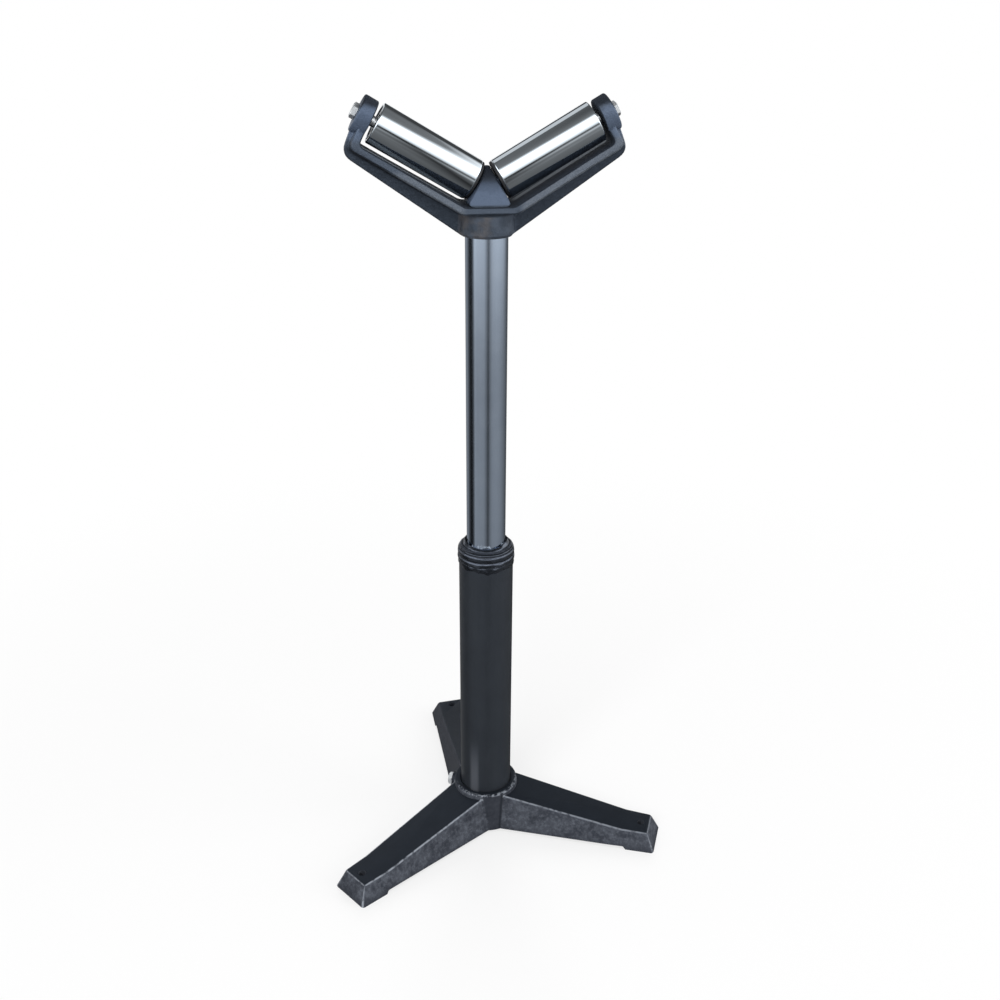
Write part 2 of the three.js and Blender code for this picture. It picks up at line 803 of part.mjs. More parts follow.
function yokeCasting() {
  const hubRadius = yokeHubDiameter / 2;
  const hub = turned(
    [
      [0, -yokeHubDrop],
      [hubRadius - yokeHubChamfer, -yokeHubDrop],
      [hubRadius, -yokeHubDrop + yokeHubChamfer],
      [hubRadius, plateBottom + ribEdgeRadius],
      [0, plateBottom + ribEdgeRadius],
    ],
    wideSides,
  );
  const mastCut = bar(
    mastDiameter + 2 * slideGap,
    -yokeHubDrop - cutOverrun,
    yokeBoreTop - axleCrossHeight,
    wideSides,
  );
  const boltSeat = radial(yokeBoltAngle, 0, 0, -yokeBoltDrop);
  const boltHoleDiameter = boltDiameter + 2 * threadGap;
  const boltBoss = bar(boltBossDiameter, mastRadius, hubRadius + boltBossRise, smallSides);
  const boltHole = bar(boltHoleDiameter, 0, hubRadius + cutOverrun, smallSides);
  const bodies = [strap(), rib(), peak(), hub, moved(boltBoss, boltSeat)];
  const cuts = [mastCut, moved(boltHole, boltSeat)];
  Object.values(armSides).forEach((side) => {
    const turn = armTurn(side);
    const earBoss = turned(
      [
        [0, earInside],
        ...quarter(earBossDiameter / 2 - earBossEdge, earInside + earBossEdge, earBossEdge, 3),
        ...quarter(earBossDiameter / 2 - earBossEdge, earOutside - earBossEdge, earBossEdge, 0),
        [0, earOutside],
      ],
      middleSides,
    );
    const peakBoss = bar(peakBossDiameter, axleTipOffset, peakBossOffset, smallSides);
    bodies.push(moved(earBoss, turn), moved(peakBoss, turn));
    const holeFloor = axleTipOffset - axleHoleFloor;
    cuts.push(moved(bar(boltHoleDiameter, holeFloor, earOutside + cutOverrun, smallSides), turn));
  });
  return joined(bodies).subtract(joined(cuts));
}

function yokeSetBolt() {
  return hexBolt(mastRadius + seatGap, yokeHubDiameter / 2 + boltBossRise + seatGap);
}

// One roller with its axle, in the axle's frame: Z from the peak out to the ear.

const boreRadius = boltDiameter / 2 + threadGap;
const rollerHubRadius = rollerRadius - rollerWall - seatGap;
const bearingPocketRadius = bearingDiameter / 2 + seatGap;
const innerRingRadius = boreRadius + bearingInnerRingWall;
const outerRingBore = bearingDiameter / 2 - bearingOuterRingWall;

// A piece near one end of the roller, from its distances in from that end.
function fromEnd(end, near, far) {
  const place = end === "inboard" ? rollerInnerOffset : rollerOuterOffset;
  const step = end === "inboard" ? 1 : -1;
  return [place + step * near, place + step * far].toSorted((a, b) => a - b);
}

function rollerShell() {
  const edge = rollerEdgeRadius;
  const inside = rollerRadius - rollerWall;
  const outline = [
    [inside, rollerInnerOffset],
    ...quarter(rollerRadius - edge, rollerInnerOffset + edge, edge, 3),
    ...quarter(rollerRadius - edge, rollerOuterOffset - edge, edge, 0),
    [inside, rollerOuterOffset],
  ];
  return turned(outline, wideSides);
}

// The hub that centres a bearing in the roller, with the bearing's pocket on its outer face.
function rollerHub(end) {
  const face = rollerHubRecess;
  const [low, high] = fromEnd(end, face, face + rollerHubLength);
  const body = ring(rollerHubRadius, rollerHubBore / 2, low, high, middleSides);
  const [cutLow, cutHigh] = fromEnd(end, face - cutOverrun, face + bearingWidth + seatGap);
  return body.subtract(bar(2 * bearingPocketRadius, cutLow, cutHigh, middleSides));
}

function bearingOuterRing(end) {
  const [low, high] = fromEnd(end, rollerHubRecess, rollerHubRecess + bearingWidth);
  return ring(bearingDiameter / 2, outerRingBore, low, high, smallSides);
}

function bearingInnerRing(end) {
  const [low, high] = fromEnd(end, rollerHubRecess, rollerHubRecess + bearingWidth);
  return ring(innerRingRadius, boreRadius, low, high, smallSides);
}

function bearingBallSet(end) {
  const near = rollerHubRecess + (bearingWidth - ballSetWidth) / 2;
  const [low, high] = fromEnd(end, near, near + ballSetWidth);
  return ring(outerRingBore - slideGap, innerRingRadius + slideGap, low, high, smallSides);
}

function bearingShield(end) {
  const near = rollerHubRecess + bearingShieldDepth;
  const [low, high] = fromEnd(end, near, near + bearingShieldThickness);
  return ring(outerRingBore - slideGap, innerRingRadius + slideGap, low, high, smallSides);
}

function spacer(diameter, low, high) {
  return ring(diameter / 2, boreRadius, low + seatGap, high - seatGap, smallSides);
}

function rollerAndAxle(sideName) {
  const group = new THREE.Group();
  const put = (name, solid, material) => group.add(named(sideName + "_" + name, solid, material));
  const ringFace = rollerHubRecess;
  const ringBack = rollerHubRecess + bearingWidth;
  put("axle_bolt", hexBolt(axleTipOffset, earOutside + seatGap), zincPlate);
  put("outboard_spacer", spacer(spacerDiameter, rollerOuterOffset - ringFace, earInside), zincPlate);
  put("inboard_spacer", spacer(spacerDiameter, peakBossOffset, rollerInnerOffset + ringFace), zincPlate);
  const tubeLow = rollerInnerOffset + ringBack;
  const tubeHigh = rollerOuterOffset - ringBack;
  put("bearing_spacer_tube", spacer(spacerTubeDiameter, tubeLow, tubeHigh), steel);
  put("roller_shell", rollerShell(), chrome);
  ["inboard", "outboard"].forEach((end) => {
    put(end + "_roller_hub", rollerHub(end), steel);
    put(end + "_bearing_outer_ring", bearingOuterRing(end), steel);
    put(end + "_bearing_inner_ring", bearingInnerRing(end), steel);
    put(end + "_bearing_ball_set", bearingBallSet(end), steel);
    put(end + "_bearing_shield", bearingShield(end), blackCap);
  });
  group.applyMatrix4(armTurn(armSides[sideName]));
  return group;
}

// Assembly

function hubSetBolt() {
  return hexBolt(columnRadius + seatGap, hubBoltSeatRadius() + seatGap);
}

const stand = new THREE.Group();
const column = new THREE.Group();
column.position.set(0, columnY, 0);
stand.add(column);

column.add(named("base_casting", baseCasting(), castIron));
column.add(named("column_tube", columnTube(), blackPaint));
column.add(named("column_collar", columnCollar(), blackCap));
column.add(named("guide_bush", guideBush(), nylon));
column.add(named("mast_tube", mastTube(), zincPlate));
column.add(named("mast_guide_ring", mastGuideRing(), nylon));

const hubBolt = named("hub_set_bolt", hubSetBolt(), zincPlate);
hubBolt.applyMatrix4(radial(hubBoltAngle, 0, 0, hubBoltHeight));
column.add(hubBolt);

const lock = new THREE.Group();
lock.applyMatrix4(radial(lockAngle, 0, 0, lockHeight));
lock.add(named("lock_boss", lockBoss(), blackPaint));
lock.add(named("lock_pad", lockPad(), bronze));
lock.add(named("lock_screw", lockScrew(), zincPlate));
lock.add(named("lock_lever", lockLever(), blackPlastic));
lock.add(named("lever_cap", leverCap(), zincPlate));
column.add(lock);

const yoke = new THREE.Group();
yoke.position.set(0, 0, axleCrossHeight);
yoke.rotation.z = yokeTurn * degrees;
yoke.add(named("yoke_casting", yokeCasting(), blackPaint));
const setBolt = named("yoke_set_bolt", yokeSetBolt(), zincPlate);
setBolt.applyMatrix4(radial(yokeBoltAngle, 0, 0, -yokeBoltDrop));
yoke.add(setBolt);
Object.keys(armSides).forEach((sideName) => yoke.add(rollerAndAxle(sideName)));
column.add(yoke);

export default stand;
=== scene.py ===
# V roller stand for pipe and round bar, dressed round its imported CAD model. Metres, +Z up.
# The sections follow the stand as it is put together, from the floor to the rollers.

import json
import math

import bmesh
import bpy
from mathutils import Matrix, Vector, noise


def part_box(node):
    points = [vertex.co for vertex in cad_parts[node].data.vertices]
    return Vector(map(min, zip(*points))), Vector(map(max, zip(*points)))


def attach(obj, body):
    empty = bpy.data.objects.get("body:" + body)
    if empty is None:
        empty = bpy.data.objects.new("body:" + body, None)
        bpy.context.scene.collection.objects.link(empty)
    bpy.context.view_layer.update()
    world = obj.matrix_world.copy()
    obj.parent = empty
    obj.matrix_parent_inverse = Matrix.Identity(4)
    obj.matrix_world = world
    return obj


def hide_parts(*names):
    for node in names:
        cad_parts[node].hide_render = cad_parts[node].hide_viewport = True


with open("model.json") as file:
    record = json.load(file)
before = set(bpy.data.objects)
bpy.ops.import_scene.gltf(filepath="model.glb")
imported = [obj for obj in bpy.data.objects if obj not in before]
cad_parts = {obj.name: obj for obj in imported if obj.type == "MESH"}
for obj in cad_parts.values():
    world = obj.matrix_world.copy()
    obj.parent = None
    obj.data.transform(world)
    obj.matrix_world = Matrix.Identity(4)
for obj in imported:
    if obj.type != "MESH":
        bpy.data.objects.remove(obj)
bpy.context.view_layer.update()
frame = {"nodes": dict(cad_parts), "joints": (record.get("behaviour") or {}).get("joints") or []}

# Studio: the camera at the photograph's place, a pale floor, and soft light from above and in
# front. Polished metal mirrors a white light tent over a grey floor, open at the back.

mm = 0.001
camera_place = (-0.33243, -1.36898, 1.15910)
camera_heading = math.radians(-15)
camera_dip = math.radians(24.7113)
camera_roll = math.radians(0.44426)
focal_share = 1.084706
sensor_width = 36

camera = bpy.data.objects.new("camera", bpy.data.cameras.new("camera"))
bpy.context.scene.collection.objects.link(camera)
bpy.context.scene.camera = camera
camera.data.sensor_width = sensor_width
camera.data.lens = sensor_width * focal_share
camera.matrix_world = (
    Matrix.Translation(camera_place)
    @ Matrix.Rotation(camera_heading, 4, "Z")
    @ Matrix.Rotation(math.pi / 2 - camera_dip, 4, "X")
    @ Matrix.Rotation(camera_roll, 4, "Z")
)


class Wire:
    """An output of a node, for Python sums and products that add their Math nodes."""

    def __init__(self, nodes, socket):
        self.nodes = nodes
        self.socket = socket

    def math(self, operation, *values):
        """The result of a Math node with these values or links."""
        return self.nodes.node("Math", dict(enumerate(values)), operation=operation)

    def __add__(self, other):
        return self.math("ADD", self, other)

    def __radd__(self, other):
        return self.math("ADD", other, self)

    def __sub__(self, other):
        return self.math("SUBTRACT", self, other)

    def __rsub__(self, other):
        return self.math("SUBTRACT", other, self)

    def __mul__(self, other):
        return self.math("MULTIPLY", self, other)

    def __rmul__(self, other):
        return self.math("MULTIPLY", other, self)

    def __abs__(self):
        return self.math("ABSOLUTE", self)

    def least(self, other):
        """The smaller of the two."""
        return self.math("MINIMUM", self, other)

    def most(self, other):
        """The greater of the two."""
        return self.math("MAXIMUM", self, other)

    def root(self):
        """The square root."""
        return self.math("SQRT", self)

    def step(self, low, high):
        """0 below the first value and 1 past the second, with a smooth rise between them."""
        inputs = {"Value": self, "From Min": low, "From Max": high}
        return self.nodes.node("MapRange", inputs, interpolation_type="SMOOTHSTEP")

    def parts(self):
        """The three numbers of a vector."""
        first = self.nodes.node("SeparateXYZ", {"Vector": self})
        outputs = first.socket.node.outputs
        return [Wire(self.nodes, socket) for socket in outputs]


class Nodes:
    """The nodes of a material or of the world."""

    def __init__(self, tree):
        self.tree = tree

    def node(self, kind, inputs=None, output=0, **settings):
        """A new node: its settings are set first, then the values or links of its inputs."""
        made = self.tree.nodes.new(kind if "Node" in kind else "ShaderNode" + kind)
        for key, value in settings.items():
            if key == "stops":
                ramp = made.color_ramp.elements
                while len(ramp) < len(value):
                    ramp.new(1)
                for element, (place, level) in zip(ramp, value):
                    element.position = place
                    element.color = grey(level)
            else:
                setattr(made, key, value)
        for key, value in (inputs or {}).items():
            found = made.inputs if isinstance(key, int) else {s.identifier: s for s in made.inputs}
            self.put(found[key], value)
        return Wire(self, made.outputs[output])

    def put(self, socket, value):
        """A link to a socket, or a constant set on it."""
        if isinstance(value, Wire):
            self.tree.links.new(value.socket, socket)
        else:
            socket.default_value = value

    def mix(self, share, first, second):
        """A colour between two, by a share from 0 to 1."""
        inputs = {"Factor_Float": share, "A_Color": first, "B_Color": second}
        return self.node("Mix", inputs, 2, data_type="RGBA")

    def times(self, first, second):
        """The product of two colours."""
        inputs = {"Factor_Float": 1.0, "A_Color": first, "B_Color": second}
        return self.node("Mix", inputs, 2, data_type="RGBA", blend_type="MULTIPLY")

    def light_path(self, output):
        """1 for the rays that the output names, and 0 for all others."""
        return self.node("LightPath", {}, output)


def grey(level):
    """A grey of this brightness."""
    return (level, level, level, 1)


def mixed_shader(nodes, share, first, second):
    """A shader between two, by a share from 0 to 1."""
    mixed = nodes.node("MixShader", {0: share})
    nodes.tree.links.new(first.socket, mixed.socket.node.inputs[1])
    nodes.tree.links.new(second.socket, mixed.socket.node.inputs[2])
    return mixed


# What polished metal mirrors: (place, brightness) stops by the height that a mirrored ray looks to,
# from straight down at 0 to straight up at 1, and for the floor by its compass heading as well.
front_by_height = [(0.0, 0.06), (0.09, 0.09), (0.245, 0.13), (0.285, 0.185), (0.354, 0.165), (0.386, 0.28),
                   (0.425, 0.56), (0.47, 0.12), (0.505, 0.15), (0.55, 1.1), (0.60, 1.5), (0.70, 3.2),
                   (0.79, 3.0), (0.845, 1.3), (0.88, 0.26), (0.95, 0.16), (1.0, 0.08)]
back_by_height = [(0.0, 0.12), (0.48, 0.25), (0.51, 1.2), (0.59, 1.2), (0.63, 0.25), (0.68, 0.07),
                  (0.84, 0.06), (0.92, 0.16), (1.0, 0.10)]
floor_by_heading = [(0.0, 0.4), (0.012, 1.3), (0.03, 1.9), (0.05, 1.6), (0.175, 1.5), (0.208, 0.9),
                    (0.239, 0.2), (0.27, 1.0), (0.305, 1.5), (0.381, 1.6), (0.467, 1.35), (0.52, 1.0),
                    (0.592, 0.42), (0.66, 0.4), (0.71, 0.6), (0.76, 1.1), (0.80, 1.2), (0.85, 1.1),
                    (0.89, 0.4), (0.93, 0.05), (0.97, 0.05), (1.0, 0.4)]
front_to_back = (0.05, 0.45)
floor_edge = (0.06, -0.03)
# A soft grey patch high behind the stand, at which the rollers' ends glint.
patch_aim = (-0.215, 0.661, 0.719)
patch_edge = (0.95, 0.975)
patch_level = 0.8
ambient_level = 0.55


world = bpy.data.worlds.new("studio")
bpy.context.scene.world = world
world.use_nodes = True
sky = Nodes(world.node_tree)
sky.tree.nodes.clear()
east, north, rise = sky.node("TexCoord", {}, "Generated").parts()
height_share = rise * 0.5 + 0.5
heading_share = north.math("ARCTAN2", north, east) * (0.5 / math.pi) + 0.5
front = sky.node("ValToRGB", {"Fac": height_share}, stops=front_by_height)
back = sky.node("ValToRGB", {"Fac": height_share}, stops=back_by_height)
heading = sky.node("ValToRGB", {"Fac": heading_share}, stops=floor_by_heading)
tent = sky.mix(north.step(*front_to_back), front, back)
tent = sky.mix(rise.step(*floor_edge), tent, sky.times(tent, heading))
toward_patch = east * patch_aim[0] + north * patch_aim[1] + rise * patch_aim[2]
tent = sky.mix(toward_patch.step(*patch_edge), tent, grey(patch_level))
lit = sky.node("Background", {"Color": grey(1), "Strength": ambient_level})
mirrored = sky.node("Background", {"Color": tent, "Strength": 1.0})
seen = sky.node("Background", {"Color": grey(1), "Strength": 1.0})
through = sky.light_path("Is Camera Ray").most(sky.light_path("Is Transmission Ray"))
surround = mixed_shader(sky, sky.light_path("Is Glossy Ray"), lit, mirrored)
surround = mixed_shader(sky, through, surround, seen)
sky.tree.links.new(surround.socket, sky.tree.nodes.new("ShaderNodeOutputWorld").inputs[0])

floor_size = 16
floor_level = 0.9
floor_shadow_share = 0.35
shadow_fade = (1.5, 0.45)
floor_mesh = bpy.data.meshes.new("floor")
half = floor_size / 2
floor_corners = [(-half, -half, 0), (half, -half, 0), (half, half, 0), (-half, half, 0)]
floor_mesh.from_pydata(floor_corners, [], [(0, 1, 2, 3)])
floor = bpy.data.objects.new("floor", floor_mesh)
bpy.context.scene.collection.objects.link(floor)
paper_material = bpy.data.materials.new("floor_paper")
paper_material.use_nodes = True
paper = Nodes(paper_material.node_tree)
paper.tree.nodes.clear()
east, north, rise = paper.node("TexCoord", {}, "Object").parts()
away = (east * east + north * north).root()
matt = paper.node("BsdfDiffuse", {"Color": grey(floor_level)})
white = paper.node("Emission", {"Color": grey(1), "Strength": 1.0})
open_floor = paper.node("BsdfTransparent")
through = paper.light_path("Is Camera Ray").most(paper.light_path("Is Transmission Ray"))
white_share = 1 - floor_shadow_share * away.step(*shadow_fade)
sheet = mixed_shader(paper, through * white_share, matt, white)
sheet = mixed_shader(paper, paper.light_path("Is Glossy Ray"), sheet, open_floor)
paper.tree.links.new(sheet.socket, paper.tree.nodes.new("ShaderNodeOutputMaterial").inputs[0])
floor_mesh.materials.append(paper_material)


stand_middle = Vector((0, -0.05, 0.5))
lamp_size = 1.6


def softbox(name, place, power):
    """A square area lamp that points at the stand's middle and doesn't show in polished metal."""
    lamp = bpy.data.objects.new(name, bpy.data.lights.new(name, "AREA"))
    bpy.context.scene.collection.objects.link(lamp)
    lamp.data.size = lamp_size
    lamp.data.energy = power
    turn = (Vector(place) - stand_middle).to_track_quat("Z", "Y")
    lamp.matrix_world = Matrix.Translation(place) @ turn.to_matrix().to_4x4()
    lamp.visible_glossy = False


softbox("key_light", (-1.6, -2.2, 2.4), 55)
softbox("fill_light", (2.4, -1.2, 1.4), 22)
softbox("back_light", (0.6, 2.4, 2.2), 30)

bpy.context.scene.view_settings.view_transform = "Standard"

# Base casting: one grey iron casting with three legs, dipped in a thin dark coat. The tops of
# the legs are smooth, the sides keep the grain of the sand mould, and the edges and the hub's rim
# are rubbed bright; that wear and the sides' pale grain are painted brighter toward the front and
# the left as painted light, and painted shade darkens the crease at each leg's root and the foot of
# each side. The hub's bore takes the column, which stands on a ledge in it.

column_low, column_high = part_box("column_tube")
base_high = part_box("base_casting")[1]
column_y = (column_low.y + column_high.y) / 2
column_radius = (column_high.x - column_low.x) / 2
column_axis = Matrix.Translation((0, column_y, 0))
leg_length = base_high.y - column_y
leg_angles = [math.radians(angle) for angle in (90, 210, 330)]
fit_gap = 0.3 * mm
foot_end_inset = 11.5 * mm
foot_floor_width = 63 * mm
foot_top_width = 44.5 * mm
foot_height = 28 * mm
foot_flat_length = 39.5 * mm
foot_pad_length = 46 * mm
foot_pad_step = 4 * mm
arch_height = 4 * mm
leg_root_floor_width = 90 * mm
leg_root_top_width = 60 * mm
leg_root_height = 54 * mm
leg_edge_radius = 3 * mm
tip_corner_radius = 4.2 * mm
leg_wall = 7 * mm
leg_rib = 7 * mm
root_fillet_radius = 5 * mm
hub_top_radius = 48 * mm
hub_floor_radius = 58 * mm
hub_height = base_high.z
hub_edge_radius = 2.6 * mm
hub_bore_radius = column_radius + fit_gap
hub_bore_chamfer = 1.5 * mm
hub_ledge_bore = 30 * mm
hub_ledge_height = 9 * mm
floor_hole_radius = 5.5 * mm
floor_hole_inset = 25 * mm
hub_bolt_angle = math.radians(150)
hub_bolt_height = 46 * mm
bolt_radius = 5 * mm
bolt_boss_radius = 12 * mm
bolt_boss_rise = 2 * mm
bolt_boss_edge = 1 * mm
overrun = 3 * mm
merge_distance = 1e-7
edge_steps = 5
tip_steps = 4
large_sides = 128
middle_sides = 64
small_sides = 48
hole_sides = 40


def solid(points, faces, place=Matrix.Identity(4)):
    """A closed mesh with its faces turned outward, moved to its place."""
    mesh = bpy.data.meshes.new("solid")
    mesh.from_pydata([tuple(point) for point in points], [], faces)
    shape = bmesh.new()
    shape.from_mesh(mesh)
    bmesh.ops.remove_doubles(shape, verts=shape.verts, dist=merge_distance)
    bmesh.ops.recalc_face_normals(shape, faces=shape.faces)
    shape.to_mesh(mesh)
    shape.free()
    mesh.transform(place)
    return mesh


def combined(operation, first, *others):
    """The solid after the others are joined to the first, cut from it or crossed with it."""
    made = []
    for mesh in (first, *others):
        made.append(bpy.data.objects.new("solid", mesh))
        bpy.context.scene.collection.objects.link(made[-1])
    whole = made[0]
    for tool in made[1:]:
        step = whole.modifiers.new("step", "BOOLEAN")
        step.operation = operation
        step.solver = "MANIFOLD"
        step.object = tool
    view = bpy.context.evaluated_depsgraph_get()
    mesh = bpy.data.meshes.new_from_object(whole.evaluated_get(view))
    for spent in made:
        bpy.data.objects.remove(spent)
    return mesh


def loft(sections, place=Matrix.Identity(4)):
    """A solid through sections that have the same number of points."""
    count = len(sections[0])
    last = (len(sections) - 1) * count
    faces = [tuple(range(count)), tuple(range(last, last + count))]
    for start in range(0, last, count):
        for i in range(count):
            after = (i + 1) % count
            faces.append((start + i, start + after, start + count + after, start + count + i))
    return solid([point for section in sections for point in section], faces, place)


def turned(outline, sides, place=Matrix.Identity(4)):
    """A solid turned about Z from (radius, height) points. It ends on the axis or closes."""
    if outline[0][0] > 0:
        outline = [*outline, outline[0]]
    rows = []
    points = []
    for radius, height in outline:
        corners = 1 if radius == 0 else sides
        rows.append([len(points) + i for i in range(corners)])
        for i in range(corners):
            angle = 2 * math.pi * i / sides
            points.append((radius * math.cos(angle), radius * math.sin(angle), height))
    faces = []
    for low, high in zip(rows, rows[1:]):
        if len(low) == len(high) == 1:
            continue
        for i in range(sides):
            after = i + 1
            ring = [low[i % len(low)], low[after % len(low)], high[after % len(high)], high[i % len(high)]]
            faces.append(tuple(dict.fromkeys(ring)))
    return solid(points, faces, place)


def bar(radius, low, high, sides, place=Matrix.Identity(4)):
    """A round bar along Z."""
    return turned([(0, low), (radius, low), (radius, high), (0, high)], sides, place)


def arc(centre_x, centre_y, radius, start, end, steps=5):
    """Points on a round from one angle to another, in degrees."""
    angles = [math.radians(start + (end - start) * i / steps) for i in range(steps + 1)]
    return [(centre_x + radius * math.cos(a), centre_y + radius * math.sin(a)) for a in angles]


def rim(side, top, edge, steps=5):
    """The rounded corner between an upright side and the flat top over it."""
    return arc(side - edge, top - edge, edge, 0, 90, steps)


def foot_rim(side, foot, edge, steps=5):
    """The rounded corner between the flat foot and an upright side over it."""
    return arc(side - edge, foot + edge, edge, -90, 0, steps)


def bend(start, corner, end, steps):
    """Points on a smooth bend from the start to the end, drawn toward the corner."""
    shares = [i / steps for i in range(steps + 1)]
    return [start * (1 - s) ** 2 + corner * (2 * s * (1 - s)) + end * s**2 for s in shares]


def along_leg(reach, tip, root_value, tip_value):
    """A measure that changes evenly from the hub to the tip of a leg."""
    return (reach - hub_top_radius) * ((tip_value - root_value) / (tip - hub_top_radius)) + root_value


foot_flat_reach = leg_length - foot_end_inset - foot_flat_length


def leg_top(reach):
    """The height of a leg's top, which slopes down to the flat of the foot."""
    return max(foot_height, along_leg(reach, foot_flat_reach, leg_root_height, foot_height))


def leg_floor_half(reach):
    """Half a leg's width on the floor."""
    return along_leg(reach, leg_length, leg_root_floor_width / 2, foot_floor_width / 2)


def leg_top_half(reach):
    """Half a leg's width at its top."""
    return along_leg(reach, leg_length - foot_end_inset, leg_root_top_width / 2, foot_top_width / 2)


def leg_half(reach, share):
    """Half a leg's width at a share of its height."""
    return leg_floor_half(reach) * (1 - share) + leg_top_half(reach) * share


def hub_radius(height):
    """The radius of the tapered hub at a height over the floor."""
    return hub_floor_radius + (hub_top_radius - hub_floor_radius) * height / hub_height


def leg_section(reach, drop=0.0, inset=None):
    """A section across a leg, with rounded top edges; the end section leans back by its draft."""
    top = leg_top(reach) - drop
    floor_half = leg_floor_half(reach) - drop
    top_half = leg_top_half(reach) - drop
    side_drop = min(leg_edge_radius, top / 2)
    start = Vector((top_half + (floor_half - top_half) * side_drop / top, top - side_drop))
    corner = Vector((top_half, top))
    end = Vector((top_half - leg_edge_radius, top))
    half = [Vector((floor_half, 0)), *bend(start, corner, end, edge_steps)]
    points = []
    for point in half + [Vector((-p.x, p.y)) for p in reversed(half)]:
        lean = reach if inset is None else leg_length - inset - foot_end_inset * point.y / foot_height
        points.append((lean, point.x, point.y))
    return points


def leg_pocket(first, last):
    """One hollow under a leg, between two distances from the column's axis."""
    sections = []
    for reach in (first, last):
        top = leg_top(reach) - leg_wall
        floor_half = leg_floor_half(reach) - leg_wall
        top_half = leg_half(reach, top / leg_top(reach)) - leg_wall
        sections.append([(reach, floor_half, -overrun), (reach, top_half, top),
                         (reach, -top_half, top), (reach, -floor_half, -overrun)])
    return loft(sections)


def root_fillet(side):
    """The hollow round where a leg's side runs into the hub."""
    sections = []
    for height in (arch_height, leg_root_height - leg_edge_radius):
        edge = leg_half(hub_top_radius, height / leg_top(hub_top_radius))
        hub_reach = hub_radius(height)
        centre_y = edge + root_fillet_radius
        centre_x = math.sqrt((hub_reach + root_fillet_radius) ** 2 - centre_y**2)
        turn = math.degrees(math.atan2(centre_y, centre_x)) - 180
        hollow = arc(centre_x, centre_y, root_fillet_radius, -90, turn, 8)
        sunk = 1 - root_fillet_radius / 2 / hub_reach
        outline = [(math.sqrt(hub_reach**2 - edge**2) * sunk, edge * sunk),
                   (hollow[0][0], hollow[0][1] - root_fillet_radius / 2),
                   *hollow,
                   (hollow[-1][0] * sunk, hollow[-1][1] * sunk)]
        sections.append([(x, side * y, height) for x, y in outline])
    return loft(sections)


def radial(angle, height):
    """The place of a piece along Z that points out from the Z axis, at a heading and a height."""
    return (Matrix.Translation((0, 0, height)) @ Matrix.Rotation(angle, 4, "Z")
            @ Matrix.Rotation(math.pi / 2, 4, "Y"))


tip_sections = [
    leg_section(leg_length, tip_corner_radius * (1 - math.cos(a)), tip_corner_radius * (1 - math.sin(a)))
    for a in [math.pi / 2 * i / tip_steps for i in range(tip_steps + 1)]
]
pocket_start = hub_floor_radius + leg_wall
pocket_end = leg_length - foot_pad_length - leg_wall
pocket_middle = (pocket_start + pocket_end) / 2
step_reach = leg_length - foot_pad_length
arch_half = hub_floor_radius + overrun
arch_outline = [(-overrun, -overrun), (step_reach + foot_pad_step, -overrun), (step_reach + foot_pad_step, 0),
                (step_reach, arch_height), (-overrun, arch_height)]


def bolt_boss(start, seat, place):
    """The flat round boss under a set bolt's head, with its rim rounded."""
    return turned(
        [(0, start), (bolt_boss_radius, start), *rim(bolt_boss_radius, seat, bolt_boss_edge), (0, seat)],
        small_sides, place,
    )


def leg_and_arch(angle):
    """A leg with its pockets and floor hole, and the cut that lifts it clear of the floor."""
    place = column_axis @ Matrix.Rotation(angle, 4, "Z")
    leg = loft([leg_section(0), leg_section(foot_flat_reach), *tip_sections])
    leg = combined("UNION", leg, root_fillet(1), root_fillet(-1))
    hole = bar(floor_hole_radius, -overrun, foot_height + overrun, hole_sides)
    hole.transform(Matrix.Translation((leg_length - floor_hole_inset, 0, 0)))
    arch = loft([[(x, y, z) for x, z in arch_outline] for y in (-arch_half, arch_half)])
    leg = combined("DIFFERENCE", leg, leg_pocket(pocket_start, pocket_middle - leg_rib / 2),
                   leg_pocket(pocket_middle + leg_rib / 2, pocket_end), hole)
    leg.transform(place)
    arch.transform(place)
    return leg, arch


hub = turned(
    [(0, arch_height), (hub_radius(arch_height), arch_height),
     *rim(hub_top_radius, hub_height, hub_edge_radius), (0, hub_height)],
    large_sides, column_axis,
)
hub_seat_radius = hub_radius(hub_bolt_height) + bolt_boss_rise
hub_bolt_place = column_axis @ radial(hub_bolt_angle, hub_bolt_height)
hub_boss = bolt_boss(column_radius, hub_seat_radius, hub_bolt_place)
bore = turned(
    [(0, -overrun), (hub_ledge_bore, -overrun), (hub_ledge_bore, hub_ledge_height),
     (hub_bore_radius, hub_ledge_height), (hub_bore_radius, hub_height - hub_bore_chamfer),
     (hub_bore_radius + hub_bore_chamfer, hub_height),
     (hub_bore_radius + hub_bore_chamfer, hub_height + overrun), (0, hub_height + overrun)],
    large_sides, column_axis,
)
bolt_hole = bar(bolt_radius + fit_gap, 0, hub_floor_radius + overrun, hole_sides, hub_bolt_place)
legs, arches = zip(*[leg_and_arch(angle) for angle in leg_angles])
casting = combined("UNION", hub, *legs, hub_boss)
casting = combined("DIFFERENCE", casting, *arches, bore, bolt_hole)


def tint(code):
    """A material colour from the six hex digits of a screen colour, by the sRGB curve."""
    colour = []
    for i in (0, 2, 4):
        level = int(code[i : i + 2], 16) / 255
        colour.append(level / 12.92 if level <= 0.04045 else ((level + 0.055) / 1.055) ** 2.4)
    return (*colour, 1)


